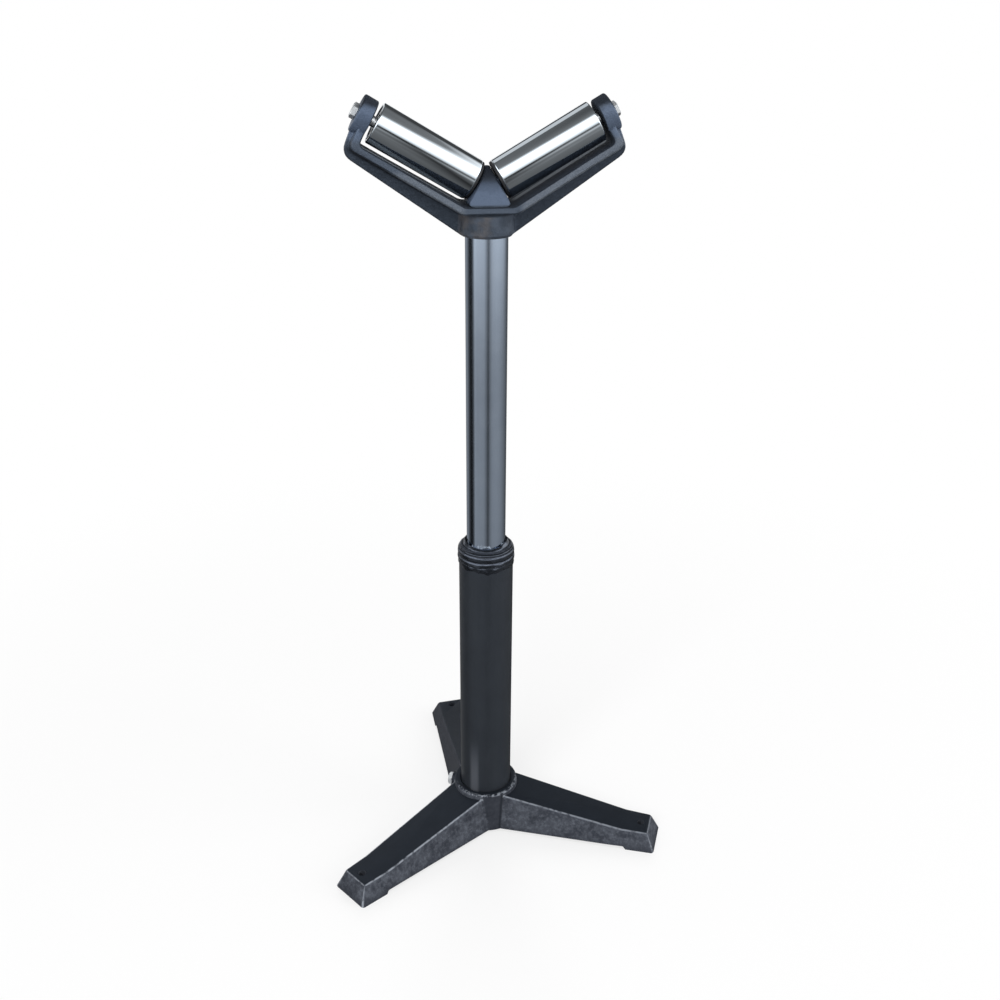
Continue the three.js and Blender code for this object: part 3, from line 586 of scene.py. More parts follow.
class Finish(Nodes):
    """A material with one surface shader, for a material slot of the record."""

    def __init__(self, slot, **constants):
        self.slot = slot
        self.material = bpy.data.materials.new(slot + "_finish")
        self.material.use_nodes = True
        super().__init__(self.material.node_tree)
        self.shader = self.tree.nodes["Principled BSDF"]
        for key, value in constants.items():
            self.shader.inputs[key.replace("_", " ")].default_value = value
        self.place = self.node("TexCoord", {}, "Object")

    def feed(self, inputs):
        """Varying values into inputs of the surface shader."""
        for key, value in inputs.items():
            self.put(self.shader.inputs[key], value)

    def noise(self, size, detail=2.0, stretch=None, roughness=0.5):
        """Cloudy noise with lumps of about this size, in metres, or stretched along one axis."""
        place = self.place
        if stretch:
            place = self.node("Mapping", {"Vector": place, "Scale": stretch})
        inputs = {"Vector": place, "Scale": 1 / size, "Detail": detail, "Roughness": roughness}
        return self.node("TexNoise", inputs)

    def bump(self, height, depth, below=None):
        """A relief of this depth in metres, on top of another relief."""
        inputs = {"Strength": 1.0, "Distance": depth, "Height": height}
        if below:
            inputs["Normal"] = below
        return self.node("Bump", inputs)


def piece(name, mesh, finish, body, *nodes, crease=32):
    """A finished piece: smooth but for its creases, on its body, in place of its CAD nodes."""
    mesh.shade_smooth()
    mesh.set_sharp_from_angle(angle=math.radians(crease))
    mesh.materials.clear()
    mesh.materials.append(finish.material)
    made = bpy.data.objects.new(name, mesh)
    bpy.context.scene.collection.objects.link(made)
    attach(made, body)
    if nodes:
        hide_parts(*nodes)


def dressed(node, mesh, finish, body):
    """A finished piece in place of one CAD node."""
    piece(node + "_dressed", mesh, finish, body, node)


def toward(heading, x, y):
    """How far a place lies in this heading."""
    return x * math.cos(heading) + y * math.sin(heading)


# Each pair below holds where a mark or a fade starts and where it is full.
cool_sheen = tint("d8e6ff")
edge_lean_share = 0.8
worn_edge_width = (2.4 * mm, 0.7 * mm)
worn_rim_width = (3.6 * mm, 0.6 * mm)
rim_face = (hub_height - 1.8 * mm, hub_height - 0.5 * mm)
legs_from_back_to_front = (-60 * mm, 20 * mm)
rim_from_back_to_front = (-5 * mm, 30 * mm)
flat_top = (0.80, 0.95)
legs_part_reach = (37 * mm, 33 * mm)
crease_reach = 35 * mm
crease_width = (2.4 * mm, 0.2 * mm)
left_to_right = (-4 * mm, 4 * mm)
painted_left_light_fade = (0, -30 * mm)
shaded_foot = (0.45, 0.0)
grain_depth = 0.5 * mm
cast_iron = Finish("cast_iron", Metallic=0.0, Specular_IOR_Level=0.4, Specular_Tint=cool_sheen)
x, y, z = cast_iron.place.parts()
y = y - column_y
forward = y * -1
reach_squared = x * x + y * y
back_leg, left_leg, right_leg = [toward(angle, x, y) for angle in leg_angles]
reach = back_leg.most(left_leg).most(right_leg)
across = (reach_squared - reach * reach).most(0).root()
top_height = along_leg(reach, foot_flat_reach, leg_root_height, foot_height).most(foot_height)
top_half = leg_top_half(reach)
side_lean = (foot_floor_width - foot_top_width) / 2 / foot_height * edge_lean_share
to_top = abs(z - top_height)
to_side = abs(across - top_half - (top_height - z) * side_lean)
to_end = abs(reach - (leg_length - z * (foot_end_inset / foot_height)))
edge_gap = to_top.least(to_side).most(to_top.most(to_side).least(to_end))
rim_gap = abs(reach_squared.root() - (hub_top_radius - hub_edge_radius / 2)).most(abs(z - hub_height))
# Painted light: the rim's wear shows only toward the front, and the legs' edge wear and pale side grain fade
# out toward the back, brightest where the lamps fall on the front.
painted_rim_front_light = forward.step(*rim_from_back_to_front)
painted_front_light = forward.step(*legs_from_back_to_front)
worn_edge = edge_gap.step(*worn_edge_width) * cast_iron.noise(7 * mm, 4.0).step(0.25, 0.55)
rim_wear_and_highlight = rim_gap.step(*worn_rim_width) * cast_iron.noise(4 * mm, 4.0).step(0.42, 0.60) * painted_rim_front_light
wear_and_highlight = worn_edge.most(rim_wear_and_highlight) * painted_front_light
smooth_top = cast_iron.node("NewGeometry", {}, "Normal").parts()[2].step(*flat_top)
smooth_parts = smooth_top.most(z.step(*rim_face) * (1 - painted_rim_front_light * 0.4))
between_legs = reach.step(*legs_part_reach) * (1 - smooth_top)
# Painted shade: a dark line where each leg's side meets the hub, stronger on the right.
root_crease_shade = abs(reach - crease_reach).step(*crease_width) * (1 - smooth_top)
root_crease_shade = root_crease_shade * (0.25 + x.step(*left_to_right) * 0.5)
grain = cast_iron.noise(2.4 * mm, 4.0, roughness=0.7)
marks = cast_iron.noise(6 * mm, 5.0, roughness=0.65)
blotch = cast_iron.noise(22 * mm, 3.0)
# Painted shade: the legs' sides are darkened toward the floor, where less light reaches.
foot_shade = (z * (1 / foot_height)).step(*shaded_foot)
speckle = marks.step(0.38, 0.74) * 0.6 + grain.step(0.50, 0.80) * 0.15 + blotch.step(0.36, 0.66) * 0.35
speckle = speckle * (1 - foot_shade * 0.8) * (1 - between_legs * 0.8) * (1 - root_crease_shade)
rough_side = cast_iron.mix(speckle * (0.15 + painted_front_light * 0.85), tint("27292f"), tint("5a5e66"))
rough_side = cast_iron.mix(root_crease_shade, rough_side, tint("14161a"))
smooth_skin = cast_iron.mix(blotch, tint("14181d"), tint("1d2229"))
skin = cast_iron.mix(smooth_parts, rough_side, smooth_skin)
# Painted highlight: the worn edges are brighter still toward the left, the side the key lamp lights.
skin = cast_iron.mix(wear_and_highlight * (0.65 + x.step(*painted_left_light_fade) * 0.25), skin, tint("9aa0a9"))
relief = grain * (1 - smooth_top * 0.85) * (1 - between_legs * 0.6)
cast_iron.feed({
    "Base Color": skin,
    "Roughness": 0.58 - smooth_top * 0.16 - wear_and_highlight * 0.12,
    "Normal": cast_iron.bump(relief, grain_depth),
})
dressed("base_casting", casting, cast_iron, "base")

# Column tube: drawn steel tube in satin black paint, standing on the hub's inner ledge. The
# lock's screw passes through a hole in its back.

tube_wall = 3.6 * mm
tube_edge = 0.5 * mm
lock_low, lock_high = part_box("lock_boss")
lock_height = (lock_low.z + lock_high.z) / 2
lock_place = column_axis @ radial(math.pi / 2, lock_height)
screw_radius = 6 * mm
thread_gap = 0.3 * mm
screw_hole_start = 27 * mm


def tube(outer, inner, low, high, edge, sides, place):
    """A tube along Z with its four edges broken."""
    return turned(
        [(inner, low + edge), (inner + edge, low), (outer - edge, low), (outer, low + edge),
         (outer, high - edge), (outer - edge, high), (inner + edge, high), (inner, high - edge)],
        sides, place,
    )


column_bore = column_radius - tube_wall
column = tube(column_radius, column_bore, column_low.z, column_high.z, tube_edge, large_sides, column_axis)
screw_hole = bar(
    screw_radius + thread_gap, screw_hole_start, column_radius + overrun, hole_sides, lock_place
)
column = combined("DIFFERENCE", column, screw_hole)

# A pale streak down the front left of the column's foot is a painted highlight, a painted reflection of the
# bright floor and leg beside it.
highlight_streak_heading = math.radians(-131)
highlight_streak_width = (0.972, 0.998)
highlight_streak_height = (165 * mm, 85 * mm)
peel_depth = 0.05 * mm
black_paint = Finish("black_paint", Metallic=0.0, Specular_IOR_Level=0.6, Specular_Tint=cool_sheen)
peel = black_paint.noise(3.5 * mm, 2.0)
drag = black_paint.noise(2.5 * mm, 3.0, stretch=(1, 1, 0.03))
cloud = black_paint.noise(60 * mm, 2.0)
x, y, z = black_paint.place.parts()
y = y - column_y
toward_highlight_streak = toward(highlight_streak_heading, x, y) * (1 / column_radius)
painted_highlight_streak = toward_highlight_streak.step(*highlight_streak_width) * z.step(*highlight_streak_height)
paint = black_paint.mix(cloud * 0.6 + drag * 0.25, tint("1e2125"), tint("31353a"))
black_paint.feed({
    "Base Color": black_paint.mix(painted_highlight_streak * 0.8, paint, tint("54575d")),
    "Roughness": 0.3 + drag * 0.14,
    "Normal": black_paint.bump(peel, peel_depth),
})
dressed("column_tube", column, black_paint, "base")

# Column collar: a moulded black cap pressed over the column's end, ringed outside like a
# bellows. Its top closes round the mast, and its foot is sealed to the column by an uneven bead.

collar_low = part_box("column_collar")[0]
bush_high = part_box("guide_bush")[1]
mast_low, mast_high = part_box("mast_tube")
mast_radius = (mast_high.x - mast_low.x) / 2
slide_gap = 0.3 * mm
# The outside in mm: each valley's radius and height over the foot, and how far the ring above it
# bulges. The lip's radius and height close the list.
collar_rings = [((38.35, -1.6), 0.3), ((38.6, 5.5), 1.1), ((38.7, 13.5), 1.2), ((38.1, 22.6), 1.1),
                ((33.4, 27.3), 0.5)]
collar_lip = (27.6, 30.2)
lip_sag = 4.5
lip_sag_heading = -104
# Pushes in the rings: heading in degrees, then height, push outward and size in mm.
collar_dents = [(-85, 4.2, 2.6, 2.3), (-117, 4.0, 1.4, 3.6), (-127, 6.5, 1.0, 3.4), (-108, 2.0, 0.9, 3.0),
                (-97, 5.5, -0.9, 4.0), (-73, 6.0, 1.0, 4.5), (-140, 4.0, 1.1, 4.0), (-20, 5.0, 0.4, 5.0),
                (40, 4.0, -0.8, 5.0), (80, 6.0, 1.2, 5.0), (120, 4.0, 0.9, 4.5), (165, 5.0, 0.3, 5.0)]
# Waves of the foot: heading in degrees, fall and push outward in mm, and width in degrees.
collar_folds = [(-100, 3.2, -0.3, 7), (-131, -1.3, 0.6, 7), (-119, 0.9, 0.0, 5), (-84, 0.6, 1.0, 6),
                (-66, -0.9, 0.3, 9), (-152, 1.2, 0.5, 9), (-30, 1.0, 0.5, 12), (10, -0.8, 0.4, 14),
                (55, 1.2, 0.6, 11), (95, -1.0, 0.3, 13), (140, 1.1, 0.6, 12), (178, -0.7, 0.4, 10)]
ring_steps = 14
ring_fullness = 0.8
collar_sides = 192
collar_edge = 0.7 * mm
collar_shelf = 37.75 * mm
wrinkle_size = 6 * mm
wrinkle_push = 0.45
deepest_push = -0.25
skirt_margin = 0.05 * mm
lip_margin = 2 * mm
collar_outside = []
for ((r0, z0), bulge), (r1, z1) in zip(collar_rings, [ring[0] for ring in collar_rings[1:]] + [collar_lip]):
    length = math.hypot(r1 - r0, z1 - z0)
    for i in range(ring_steps):
        angle = math.pi * i / ring_steps
        share = (1 - math.cos(angle)) / 2
        out = bulge * math.sin(angle) ** ring_fullness / length
        collar_outside.append(((r0 + (r1 - r0) * share + (z1 - z0) * out) * mm,
                               collar_low.z + (z0 + (z1 - z0) * share - (r1 - r0) * out) * mm))
collar_bore = mast_radius + slide_gap
collar_top = collar_low.z + collar_lip[1] * mm
collar_roof = bush_high.z + slide_gap
collar_skirt = collar_rings[0][0][0] * mm
collar = turned(
    [*collar_outside, *arc(collar_bore + collar_edge, collar_top - collar_edge, collar_edge, 90, 180),
     (collar_bore, collar_roof), (collar_shelf, collar_roof), (collar_shelf, column_high.z + slide_gap),
     (collar_skirt, column_high.z)],
    collar_sides, column_axis,
)


def degrees_from(middle, heading):
    """The turn from one heading to another, between -180 and 180 degrees."""
    return (heading - middle + 180) % 360 - 180


def crumpled(mesh):
    """The collar with its lowest ring pinched and wavy, and its lip raised at the sides and back, lowest at
    the front.
    """
    lowest_ring = collar_rings[1][0][1] * mm
    lip_start = collar_rings[-1][0][1]
    for vertex in mesh.vertices:
        x, y, z = vertex.co - Vector((0, column_y, 0))
        radius = math.hypot(x, y)
        heading = math.degrees(math.atan2(y, x))
        level = (z - collar_low.z) / mm
        loose = min(max(1 - (z - collar_low.z) / lowest_ring, 0), 1)
        drop, push = 0, noise.noise(Vector((x, y, z)) / wrinkle_size) * wrinkle_push
        for middle, height, out, size in collar_dents:
            aside = math.radians(degrees_from(middle, heading)) * radius / mm
            push += out * math.exp(-(aside**2 + (level - height) ** 2) / size**2)
        for middle, fall, out, width in collar_folds:
            near = math.exp(-((degrees_from(middle, heading) / width) ** 2))
            drop += fall * near
            push += out * near * min(loose * 2, 1)
        outside = radius > collar_skirt + skirt_margin
        if outside or (z > collar_roof and radius > collar_bore + lip_margin):
            scale = 1 + max(push, deepest_push) * mm / radius
            vertex.co.x, vertex.co.y = x * scale, y * scale + column_y
        elif z > collar_low.z:
            continue
        vertex.co.z -= drop * loose * mm
        aside = min(abs(degrees_from(lip_sag_heading, heading)) * 2, 180)
        risen = min(max(level - lip_start, 0) / (collar_lip[1] - lip_start), 1)
        vertex.co.z += lip_sag * risen * (1 - math.cos(math.radians(aside))) / 2 * mm
    return mesh


collar = crumpled(collar)
valley_half = 0.2 * mm
valley_reach = 1.3 * mm
shoulder_below = 3.4 * mm
shoulder_above = 2.2 * mm
shoulder_depth = 1.6 * mm
wrinkle_depth = 0.9 * mm
black_gloss = Finish("black_gloss", Metallic=0.0, Specular_IOR_Level=1.0, Specular_Tint=cool_sheen)
crumple = black_gloss.noise(6 * mm, 3.0)
ripple = black_gloss.noise(16 * mm, 2.0)
z = black_gloss.place.parts()[2] - collar_low.z
valleys = [ring[0][1] * mm for ring in collar_rings[2:]]
groove = sum(abs(z - valley).step(valley_reach, valley_half) for valley in valleys)
shoulder = sum(
    z.step(valley - shoulder_below, valley - valley_half)
    - z.step(valley - valley_half, valley + shoulder_above)
    for valley in valleys
)
rings_relief = black_gloss.bump(1 - shoulder * 0.5, shoulder_depth)
black_gloss.feed({
    "Base Color": black_gloss.mix(crumple, tint("0e1013"), tint("1a1d21")),
    "Roughness": 0.15 + crumple * 0.18 + groove * 0.5,
    "Normal": black_gloss.bump(crumple * 0.4 + ripple, wrinkle_depth, rings_relief),
})
dressed("column_collar", collar, black_gloss, "base")

# Guide bush and guide ring: turned nylon, hidden in the column. The bush sits in the column's
# top under the collar, and the ring is fixed round the mast's lower end.

nylon = Finish("nylon", Metallic=0.0)
nylon.feed({
    "Base Color": nylon.mix(nylon.noise(8 * mm), tint("d3ccb8"), tint("ded8c8")),
    "Roughness": 0.5 + nylon.noise(2 * mm) * 0.2,
})


def coat(finish, *names):
    """The finish on CAD nodes whose shape is right as it is."""
    for name in names:
        frame["nodes"][name].material_slots[0].material = finish.material


coat(nylon, "guide_bush", "mast_guide_ring")

# Mast: bright zinc plated steel tube. It is polished along its length by sliding in the bush.
# Just above the collar's lip it is made partly non-metallic in patches, a painted highlight there.
# The bolts share its plating, in a paler and rougher coat; the bolt near the floor is made partly
# non-metallic as a painted highlight.

mast_wall = 4 * mm
mast_sides = 160
past_mast = (mast_radius + 1 * mm, mast_radius + 5 * mm)
lip_highlight_height = collar_top + 1.5 * mm
lip_highlight_width = (4 * mm, 1 * mm)
near_floor = (120 * mm, 80 * mm)
rub_depth = 0.02 * mm
mast_bore_radius = mast_radius - mast_wall
mast = tube(mast_radius, mast_bore_radius, mast_low.z, mast_high.z, tube_edge, mast_sides, column_axis)
zinc = Finish("zinc_plate", Metallic=1.0)
rub = zinc.noise(1.6 * mm, 4.0, stretch=(1, 1, 0.012))
bloom = zinc.noise(22 * mm, 3.0)
x, y, z = zinc.place.parts()
y = y - column_y
off_mast = (x * x + y * y).root().step(*past_mast)
# Painted highlight: patches just above the collar's lip are made partly non-metallic, so they light up pale.
lip_highlight = abs(z - lip_highlight_height).step(*lip_highlight_width) * zinc.noise(7 * mm, 2.0).step(0.48, 0.66)
# Painted highlight: the bolt near the floor is made partly non-metallic, so it shows brighter.
low_bolt_highlight = z.step(*near_floor) * off_mast
tube_tone = zinc.mix(bloom * 0.5 + rub * 0.3, tint("c2d2e8"), tint("dcecff"))
zinc.feed({
    "Base Color": zinc.mix(off_mast, tube_tone, tint("eef2f5")),
    "Roughness": 0.12 + bloom * 0.06 + rub * 0.06 + off_mast * 0.26,
    "Metallic": 1 - (lip_highlight * (1 - off_mast) * 0.6).most(low_bolt_highlight * 0.55),
    "Normal": zinc.bump(rub, rub_depth),
})
dressed("mast_tube", mast, zinc, "mast")

# Hub set bolt: a zinc plated hexagon bolt, with a washer face and chamfered corners, screwed
# through the hub's side against the column. The yoke's bolt and the axle bolts are alike.

head_width = 17 * mm
head_height = 6.4 * mm
head_corner = head_width / 2 / math.cos(math.pi / 6)
head_chamfer = 1.2 * mm
head_crown = 0.9 * head_chamfer
head_slope = 1.6 * head_chamfer
head_sides = 96
washer_face = 0.5 * mm
washer_inset = 0.3 * mm
washer_slope = 0.4 * mm
shank_chamfer = 0.8 * mm


def hex_bolt(low, seat, place):
    """A bolt along Z whose shank ends at low and whose head sits on seat."""
    face_radius = head_width / 2 - washer_inset
    top = seat + head_height
    foot = seat + washer_face
    prism = bar(head_corner, foot, top, 6)
    dome = turned(
        [(0, seat), (face_radius, seat), (head_width / 2, foot),
         (head_corner + head_chamfer, foot + washer_slope), (head_corner + head_chamfer, top - head_slope),
         *arc(head_width / 2 - head_chamfer, top - head_crown, head_crown, 40, 90, 3), (0, top)],
        head_sides,
    )
    head = combined("INTERSECT", prism, dome)
    face = bar(face_radius, seat, foot + washer_face, middle_sides)
    shank = turned(
        [(0, low), (bolt_radius - shank_chamfer, low), (bolt_radius, low + shank_chamfer),
         (bolt_radius, foot), (0, foot)],
        small_sides,
    )
    bolt = combined("UNION", head, face, shank)
    bolt.transform(place)
    return bolt


hub_bolt = hex_bolt(column_radius + fit_gap, hub_seat_radius + fit_gap, hub_bolt_place)
dressed("hub_set_bolt", hub_bolt, zinc, "base")

# Lock boss: a round steel boss with the thread for the height lock's screw, painted with the
# column. A rippled bead of weld all round holds it to the column's back.

lock_seat = lock_high.y - column_y
boss_radius = (lock_high.x - lock_low.x) / 2
boss_edge = 1 * mm
mouth_chamfer = 0.7 * mm
skin_sides = 160
mouth_foot = lock_seat - mouth_chamfer
lock_boss = turned(
    [(0, screw_hole_start), (boss_radius, screw_hole_start),
     *rim(boss_radius, lock_seat, boss_edge),
     (screw_radius + thread_gap + mouth_chamfer, lock_seat), (screw_radius + thread_gap, mouth_foot),
     (0, mouth_foot)],
    middle_sides, lock_place,
)
lock_boss = combined(
    "DIFFERENCE", lock_boss,
    bar(column_radius + fit_gap, column_low.z, column_high.z, skin_sides, column_axis),
    bar(screw_radius + thread_gap, 0, lock_seat + overrun, small_sides, lock_place),
)
dressed("lock_boss", lock_boss, black_paint, "base")

weld_radius = 1.7 * mm
weld_lift = 0.2 * mm
weld_ripple = 0.16
weld_ripple_turn = 1.3
weld_points = 144
weld_sides = 10
weld_crease = 80


class Growth(Nodes):
    """A Geometry Nodes tree with named inputs, which grows into one plain mesh."""

    def __init__(self, name, **values):
        super().__init__(bpy.data.node_groups.new(name, "GeometryNodeTree"))
        self.values = values
        self.tree.interface.new_socket("mesh", in_out="OUTPUT", socket_type="NodeSocketGeometry")
        for key, value in values.items():
            kind = "NodeSocketInt" if isinstance(value, int) else "NodeSocketFloat"
            self.tree.interface.new_socket(key, in_out="INPUT", socket_type=kind)
        given = self.tree.nodes.new("NodeGroupInput")
        self.given = {socket.name: Wire(self, socket) for socket in given.outputs}

    def grown(self, geometry, finish, place):
        """The plain mesh that the tree makes of its geometry, in its finish and at its place."""
        whole = self.node("GeometryNodeRealizeInstances", {"Geometry": geometry})
        inputs = {"Geometry": whole, "Material": finish.material}
        whole = self.node("GeometryNodeSetMaterial", inputs)
        self.tree.links.new(whole.socket, self.tree.nodes.new("NodeGroupOutput").inputs[0])
        host = bpy.data.objects.new("host", bpy.data.meshes.new("host"))
        bpy.context.scene.collection.objects.link(host)
        growth = host.modifiers.new("growth", "NODES")
        growth.node_group = self.tree
        for item in self.tree.interface.items_tree:
            if item.in_out == "INPUT":
                growth[item.identifier] = self.values[item.name]
        view = bpy.context.evaluated_depsgraph_get()
        mesh = bpy.data.meshes.new_from_object(host.evaluated_get(view))
        bpy.data.objects.remove(host)
        mesh.transform(place)
        return mesh


weld = Growth("weld_bead", ring_radius=boss_radius + fit_gap, column_radius=column_radius + weld_lift,
              bead_radius=weld_radius, ripple=weld_ripple, points=weld_points)
given = weld.given
inputs = {"Vertices": given["points"], "Radius": given["ring_radius"]}
loop = weld.node("GeometryNodeMeshCircle", inputs)
aside = weld.node("GeometryNodeInputPosition").parts()[1]
skin = given["column_radius"]
on_column = weld.node("CombineXYZ", {"Z": (skin * skin - aside * aside).root()})
loop = weld.node("GeometryNodeSetPosition", {"Geometry": loop, "Offset": on_column})
loop = weld.node("GeometryNodeMeshToCurve", {"Mesh": loop})
index = weld.node("GeometryNodeInputIndex")
wave = index.math("SINE", index * weld_ripple_turn)
loop = weld.node("GeometryNodeSetCurveRadius", {"Curve": loop, "Radius": 1 + wave * given["ripple"]})
inputs = {"Resolution": weld_sides, "Radius": given["bead_radius"]}
section = weld.node("GeometryNodeCurvePrimitiveCircle", inputs)
bead = weld.node("GeometryNodeCurveToMesh", {"Curve": loop, "Profile Curve": section})
bead = weld.grown(bead, black_paint, lock_place)
piece("lock_boss_weld", bead, black_paint, "base", crease=weld_crease)

# Lock pad and lock screw: a bronze pad that touches the mast, and the zinc plated screw that
# presses it there when it is turned.

bronze = Finish("bronze", Metallic=1.0, Roughness=0.4)
bronze.feed({"Base Color": bronze.mix(bronze.noise(3 * mm), tint("96703a"), tint("b58d4e"))})
coat(bronze, "lock_pad")

screw_low, screw_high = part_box("lock_screw")
screw_foot = screw_low.y - column_y
screw_top = screw_high.y - column_y
screw_chamfer = 1 * mm
screw = turned(
    [(0, screw_foot), (screw_radius - screw_chamfer, screw_foot),
     (screw_radius, screw_foot + screw_chamfer), (screw_radius, screw_top), (0, screw_top)],
    small_sides, lock_place,
)
dressed("lock_screw", screw, zinc, "lock_screw")

# Lock lever: a hand lever of grained black plastic on the screw's end, and a zinc plated cap that
# closes its hub.

lever_gap = 2 * mm
lever_hub_height = 14 * mm
lever_hub_radius = 9.5 * mm
lever_hub_edge = 1.5 * mm
lever_length = 60 * mm
lever_lean = math.radians(14)
lever_neck_radius = 4.5 * mm
lever_neck_length = 12 * mm
lever_flare_radius = 12 * mm
lever_flare_start = 20 * mm
lever_grip_radius = 7.5 * mm
lever_grip_foot = 30 * mm
lever_grip_shoulder = 4 * mm
lever_grip_narrowing = 0.6 * mm
lever_foot = lock_seat + lever_gap
lever_top = lever_foot + lever_hub_height


def disc(radius, low, high, edge, sides, place):
    """A round disc along Z with both of its rims rounded."""
    outline = [(0, low), *foot_rim(radius, low, edge), *rim(radius, high, edge), (0, high)]
    return turned(outline, sides, place)


lever_hub = disc(lever_hub_radius, lever_foot, lever_top, lever_hub_edge, middle_sides, lock_place)
lever_place = (lock_place @ Matrix.Translation((0, 0, (lever_foot + lever_top) / 2))
               @ Matrix.Rotation(math.pi / 2 - lever_lean, 4, "Y"))
lever_arm = turned(
    [(0, 0), (lever_neck_radius, 0), (lever_neck_radius, lever_neck_length),
     *arc(lever_neck_radius + lever_flare_radius, lever_flare_start, lever_flare_radius, 180, 165, 4)[1:],
     (lever_grip_radius - lever_grip_narrowing, lever_grip_foot),
     (lever_grip_radius, lever_grip_foot + lever_grip_shoulder),
     *arc(0, lever_length - lever_grip_radius, lever_grip_radius, 0, 90, 10)[:-1], (0, lever_length)],
    middle_sides, lever_place,
)
lever_hole = bar(screw_radius + thread_gap, 0, lever_top + overrun, small_sides, lock_place)
lever = combined("UNION", lever_hub, lever_arm)
lever = combined("DIFFERENCE", lever, lever_hole)
grain_relief = 0.06 * mm
black_plastic = Finish("black_plastic", Metallic=0.0)
leather_grain = black_plastic.noise(1.2 * mm, 2.0)
black_plastic.feed({
    "Base Color": black_plastic.mix(leather_grain, tint("141518"), tint("1e2023")),
    "Roughness": 0.45 + leather_grain * 0.2,
    "Normal": black_plastic.bump(leather_grain, grain_relief),
})
dressed("lock_lever", lever, black_plastic, "lock_screw")

cap_radius = 7 * mm
cap_edge = 1 * mm
cap_height = 3 * mm
cap_foot = lever_top + fit_gap
cap = turned(
    [(0, cap_foot), *arc(cap_radius - cap_edge, cap_foot + cap_edge / 2, cap_edge, -30, 0, 2),
     *rim(cap_radius, cap_foot + cap_height, cap_edge), (0, cap_foot + cap_height)],
    middle_sides, lock_place,
)
dressed("lever_cap", cap, zinc, "lock_screw")

# Yoke: one iron casting in satin black. A hub over the mast's end carries a strap that runs out
# under both rollers and up into the ears, a rib under the strap, and a peak between the rollers.
# A set bolt in the hub's back holds it. Its upright faces are paler, partly rubbed and partly a
# painted highlight; the peak's face and the ears' fronts are painted lit; a painted band of back
# light lies on the strap's top under the rollers; and painted shade darkens its tops, its inner
# faces and the crease under the strap.

joints = {joint["name"]: joint for joint in frame["joints"]}
axle_cross = Vector(joints["left_roller_spin"]["pos_m"])
left_axis, right_axis = [Vector(joints[side + "_roller_spin"]["axis"]) for side in ("left", "right")]
yoke_x = (right_axis - left_axis).normalized()
yoke_z = Vector((0, 0, 1))
yoke_turn = Matrix((yoke_x, yoke_z.cross(yoke_x), yoke_z)).transposed().to_4x4()
yoke_place = Matrix.Translation(axle_cross) @ yoke_turn
tilt = math.asin(right_axis.z)
roller_radius = 25.4 * mm
roller_inner_offset = 20 * mm
roller_outer_offset = 153 * mm
ear_gap = 5.5 * mm
ear_thickness = 18 * mm
ear_radius = 23 * mm
ear_edge = 2.2 * mm
ear_rise = 7 * mm
ear_sides = 96
ear_inside = roller_outer_offset + ear_gap
ear_outside = ear_inside + ear_thickness
strap_gap = 5.2 * mm
strap_thickness = 9.5 * mm
upright_thickness = 10 * mm
strap_inner_bend = 6 * mm
strap_outer_bend = 12 * mm
strap_kink_radius = 18 * mm
strap_centre_depth = 72 * mm
strap_arm_depth = 50 * mm
strap_ear_depth = 37 * mm
strap_narrowing = 13 * mm
strap_taper = 124 * mm
strap_edge = 2.6 * mm
strap_lean = 1.8 * mm
strap_top = -(roller_radius + strap_gap)
strap_bottom = strap_top - strap_thickness
strap_ear_face = ear_inside + upright_thickness
plate_thickness = 9 * mm
plate_top = -17.9 * mm
plate_bottom = plate_top - plate_thickness
rib_half = 6 * mm
rib_edge = 2 * mm
rib_fillet = 4 * mm
rib_depth = 10.4 * mm
rib_heel_inset = 5.5 * mm
rib_heel_radius = 16 * mm
rib_toe_inset = 0.5 * mm
rib_toe_radius = 6 * mm
rib_toe_gap = 1 * mm
rib_overlap = 5 * mm
yoke_hub_radius = 34.5 * mm
yoke_hub_foot = -56 * mm
yoke_hub_chamfer = 3 * mm
yoke_hub_edge = 2 * mm
yoke_hub_draft = 1.8 * mm
yoke_hub_fillet = 3 * mm
yoke_hub_flare = 1.5 * mm
yoke_hub_overlap = 2 * mm
yoke_bolt_drop = -42 * mm
axle_boss_radius = 8.5 * mm
axle_boss_start = 7 * mm
axle_boss_end = 17 * mm
axle_hole_start = 6 * mm


def on_arm(along, height):
    """A point of the right arm's plane, from its distance along the axle and over it."""
    return Vector((along * math.cos(tilt) - height * math.sin(tilt),
                   along * math.sin(tilt) + height * math.cos(tilt)))


def at_level(height, level):
    """Where a line along the arm, at a height over the axle, meets a level plane."""
    return on_arm((level - height * math.cos(tilt)) / math.sin(tilt), height)


def rounded(corners, closed=False, steps=6):
    """A path of (point, radius) corners, with each corner that has a radius rounded."""
    path = []
    for i, (here, radius) in enumerate(corners):
        if radius == 0 or (not closed and i in (0, len(corners) - 1)):
            path.append(here)
            continue
        inward = (corners[i - 1][0] - here).normalized()
        outward = (corners[(i + 1) % len(corners)][0] - here).normalized()
        reach = radius / math.tan(inward.angle(outward) / 2)
        path += bend(here + inward * reach, here, here + outward * reach, steps)
    return path


def strap_side(level, height, upright, upright_bend):
    """The strap's upper or lower side, from the yoke's middle out under a roller and up the ear."""
    return rounded([
        (Vector((0, level)), 0), (at_level(height, level), strap_kink_radius),
        (on_arm(strap_taper, height), 0), (on_arm(upright, height), upright_bend),
        (on_arm(upright, strap_top + strap_narrowing), 0), (on_arm(upright, ear_rise), 0),
    ])


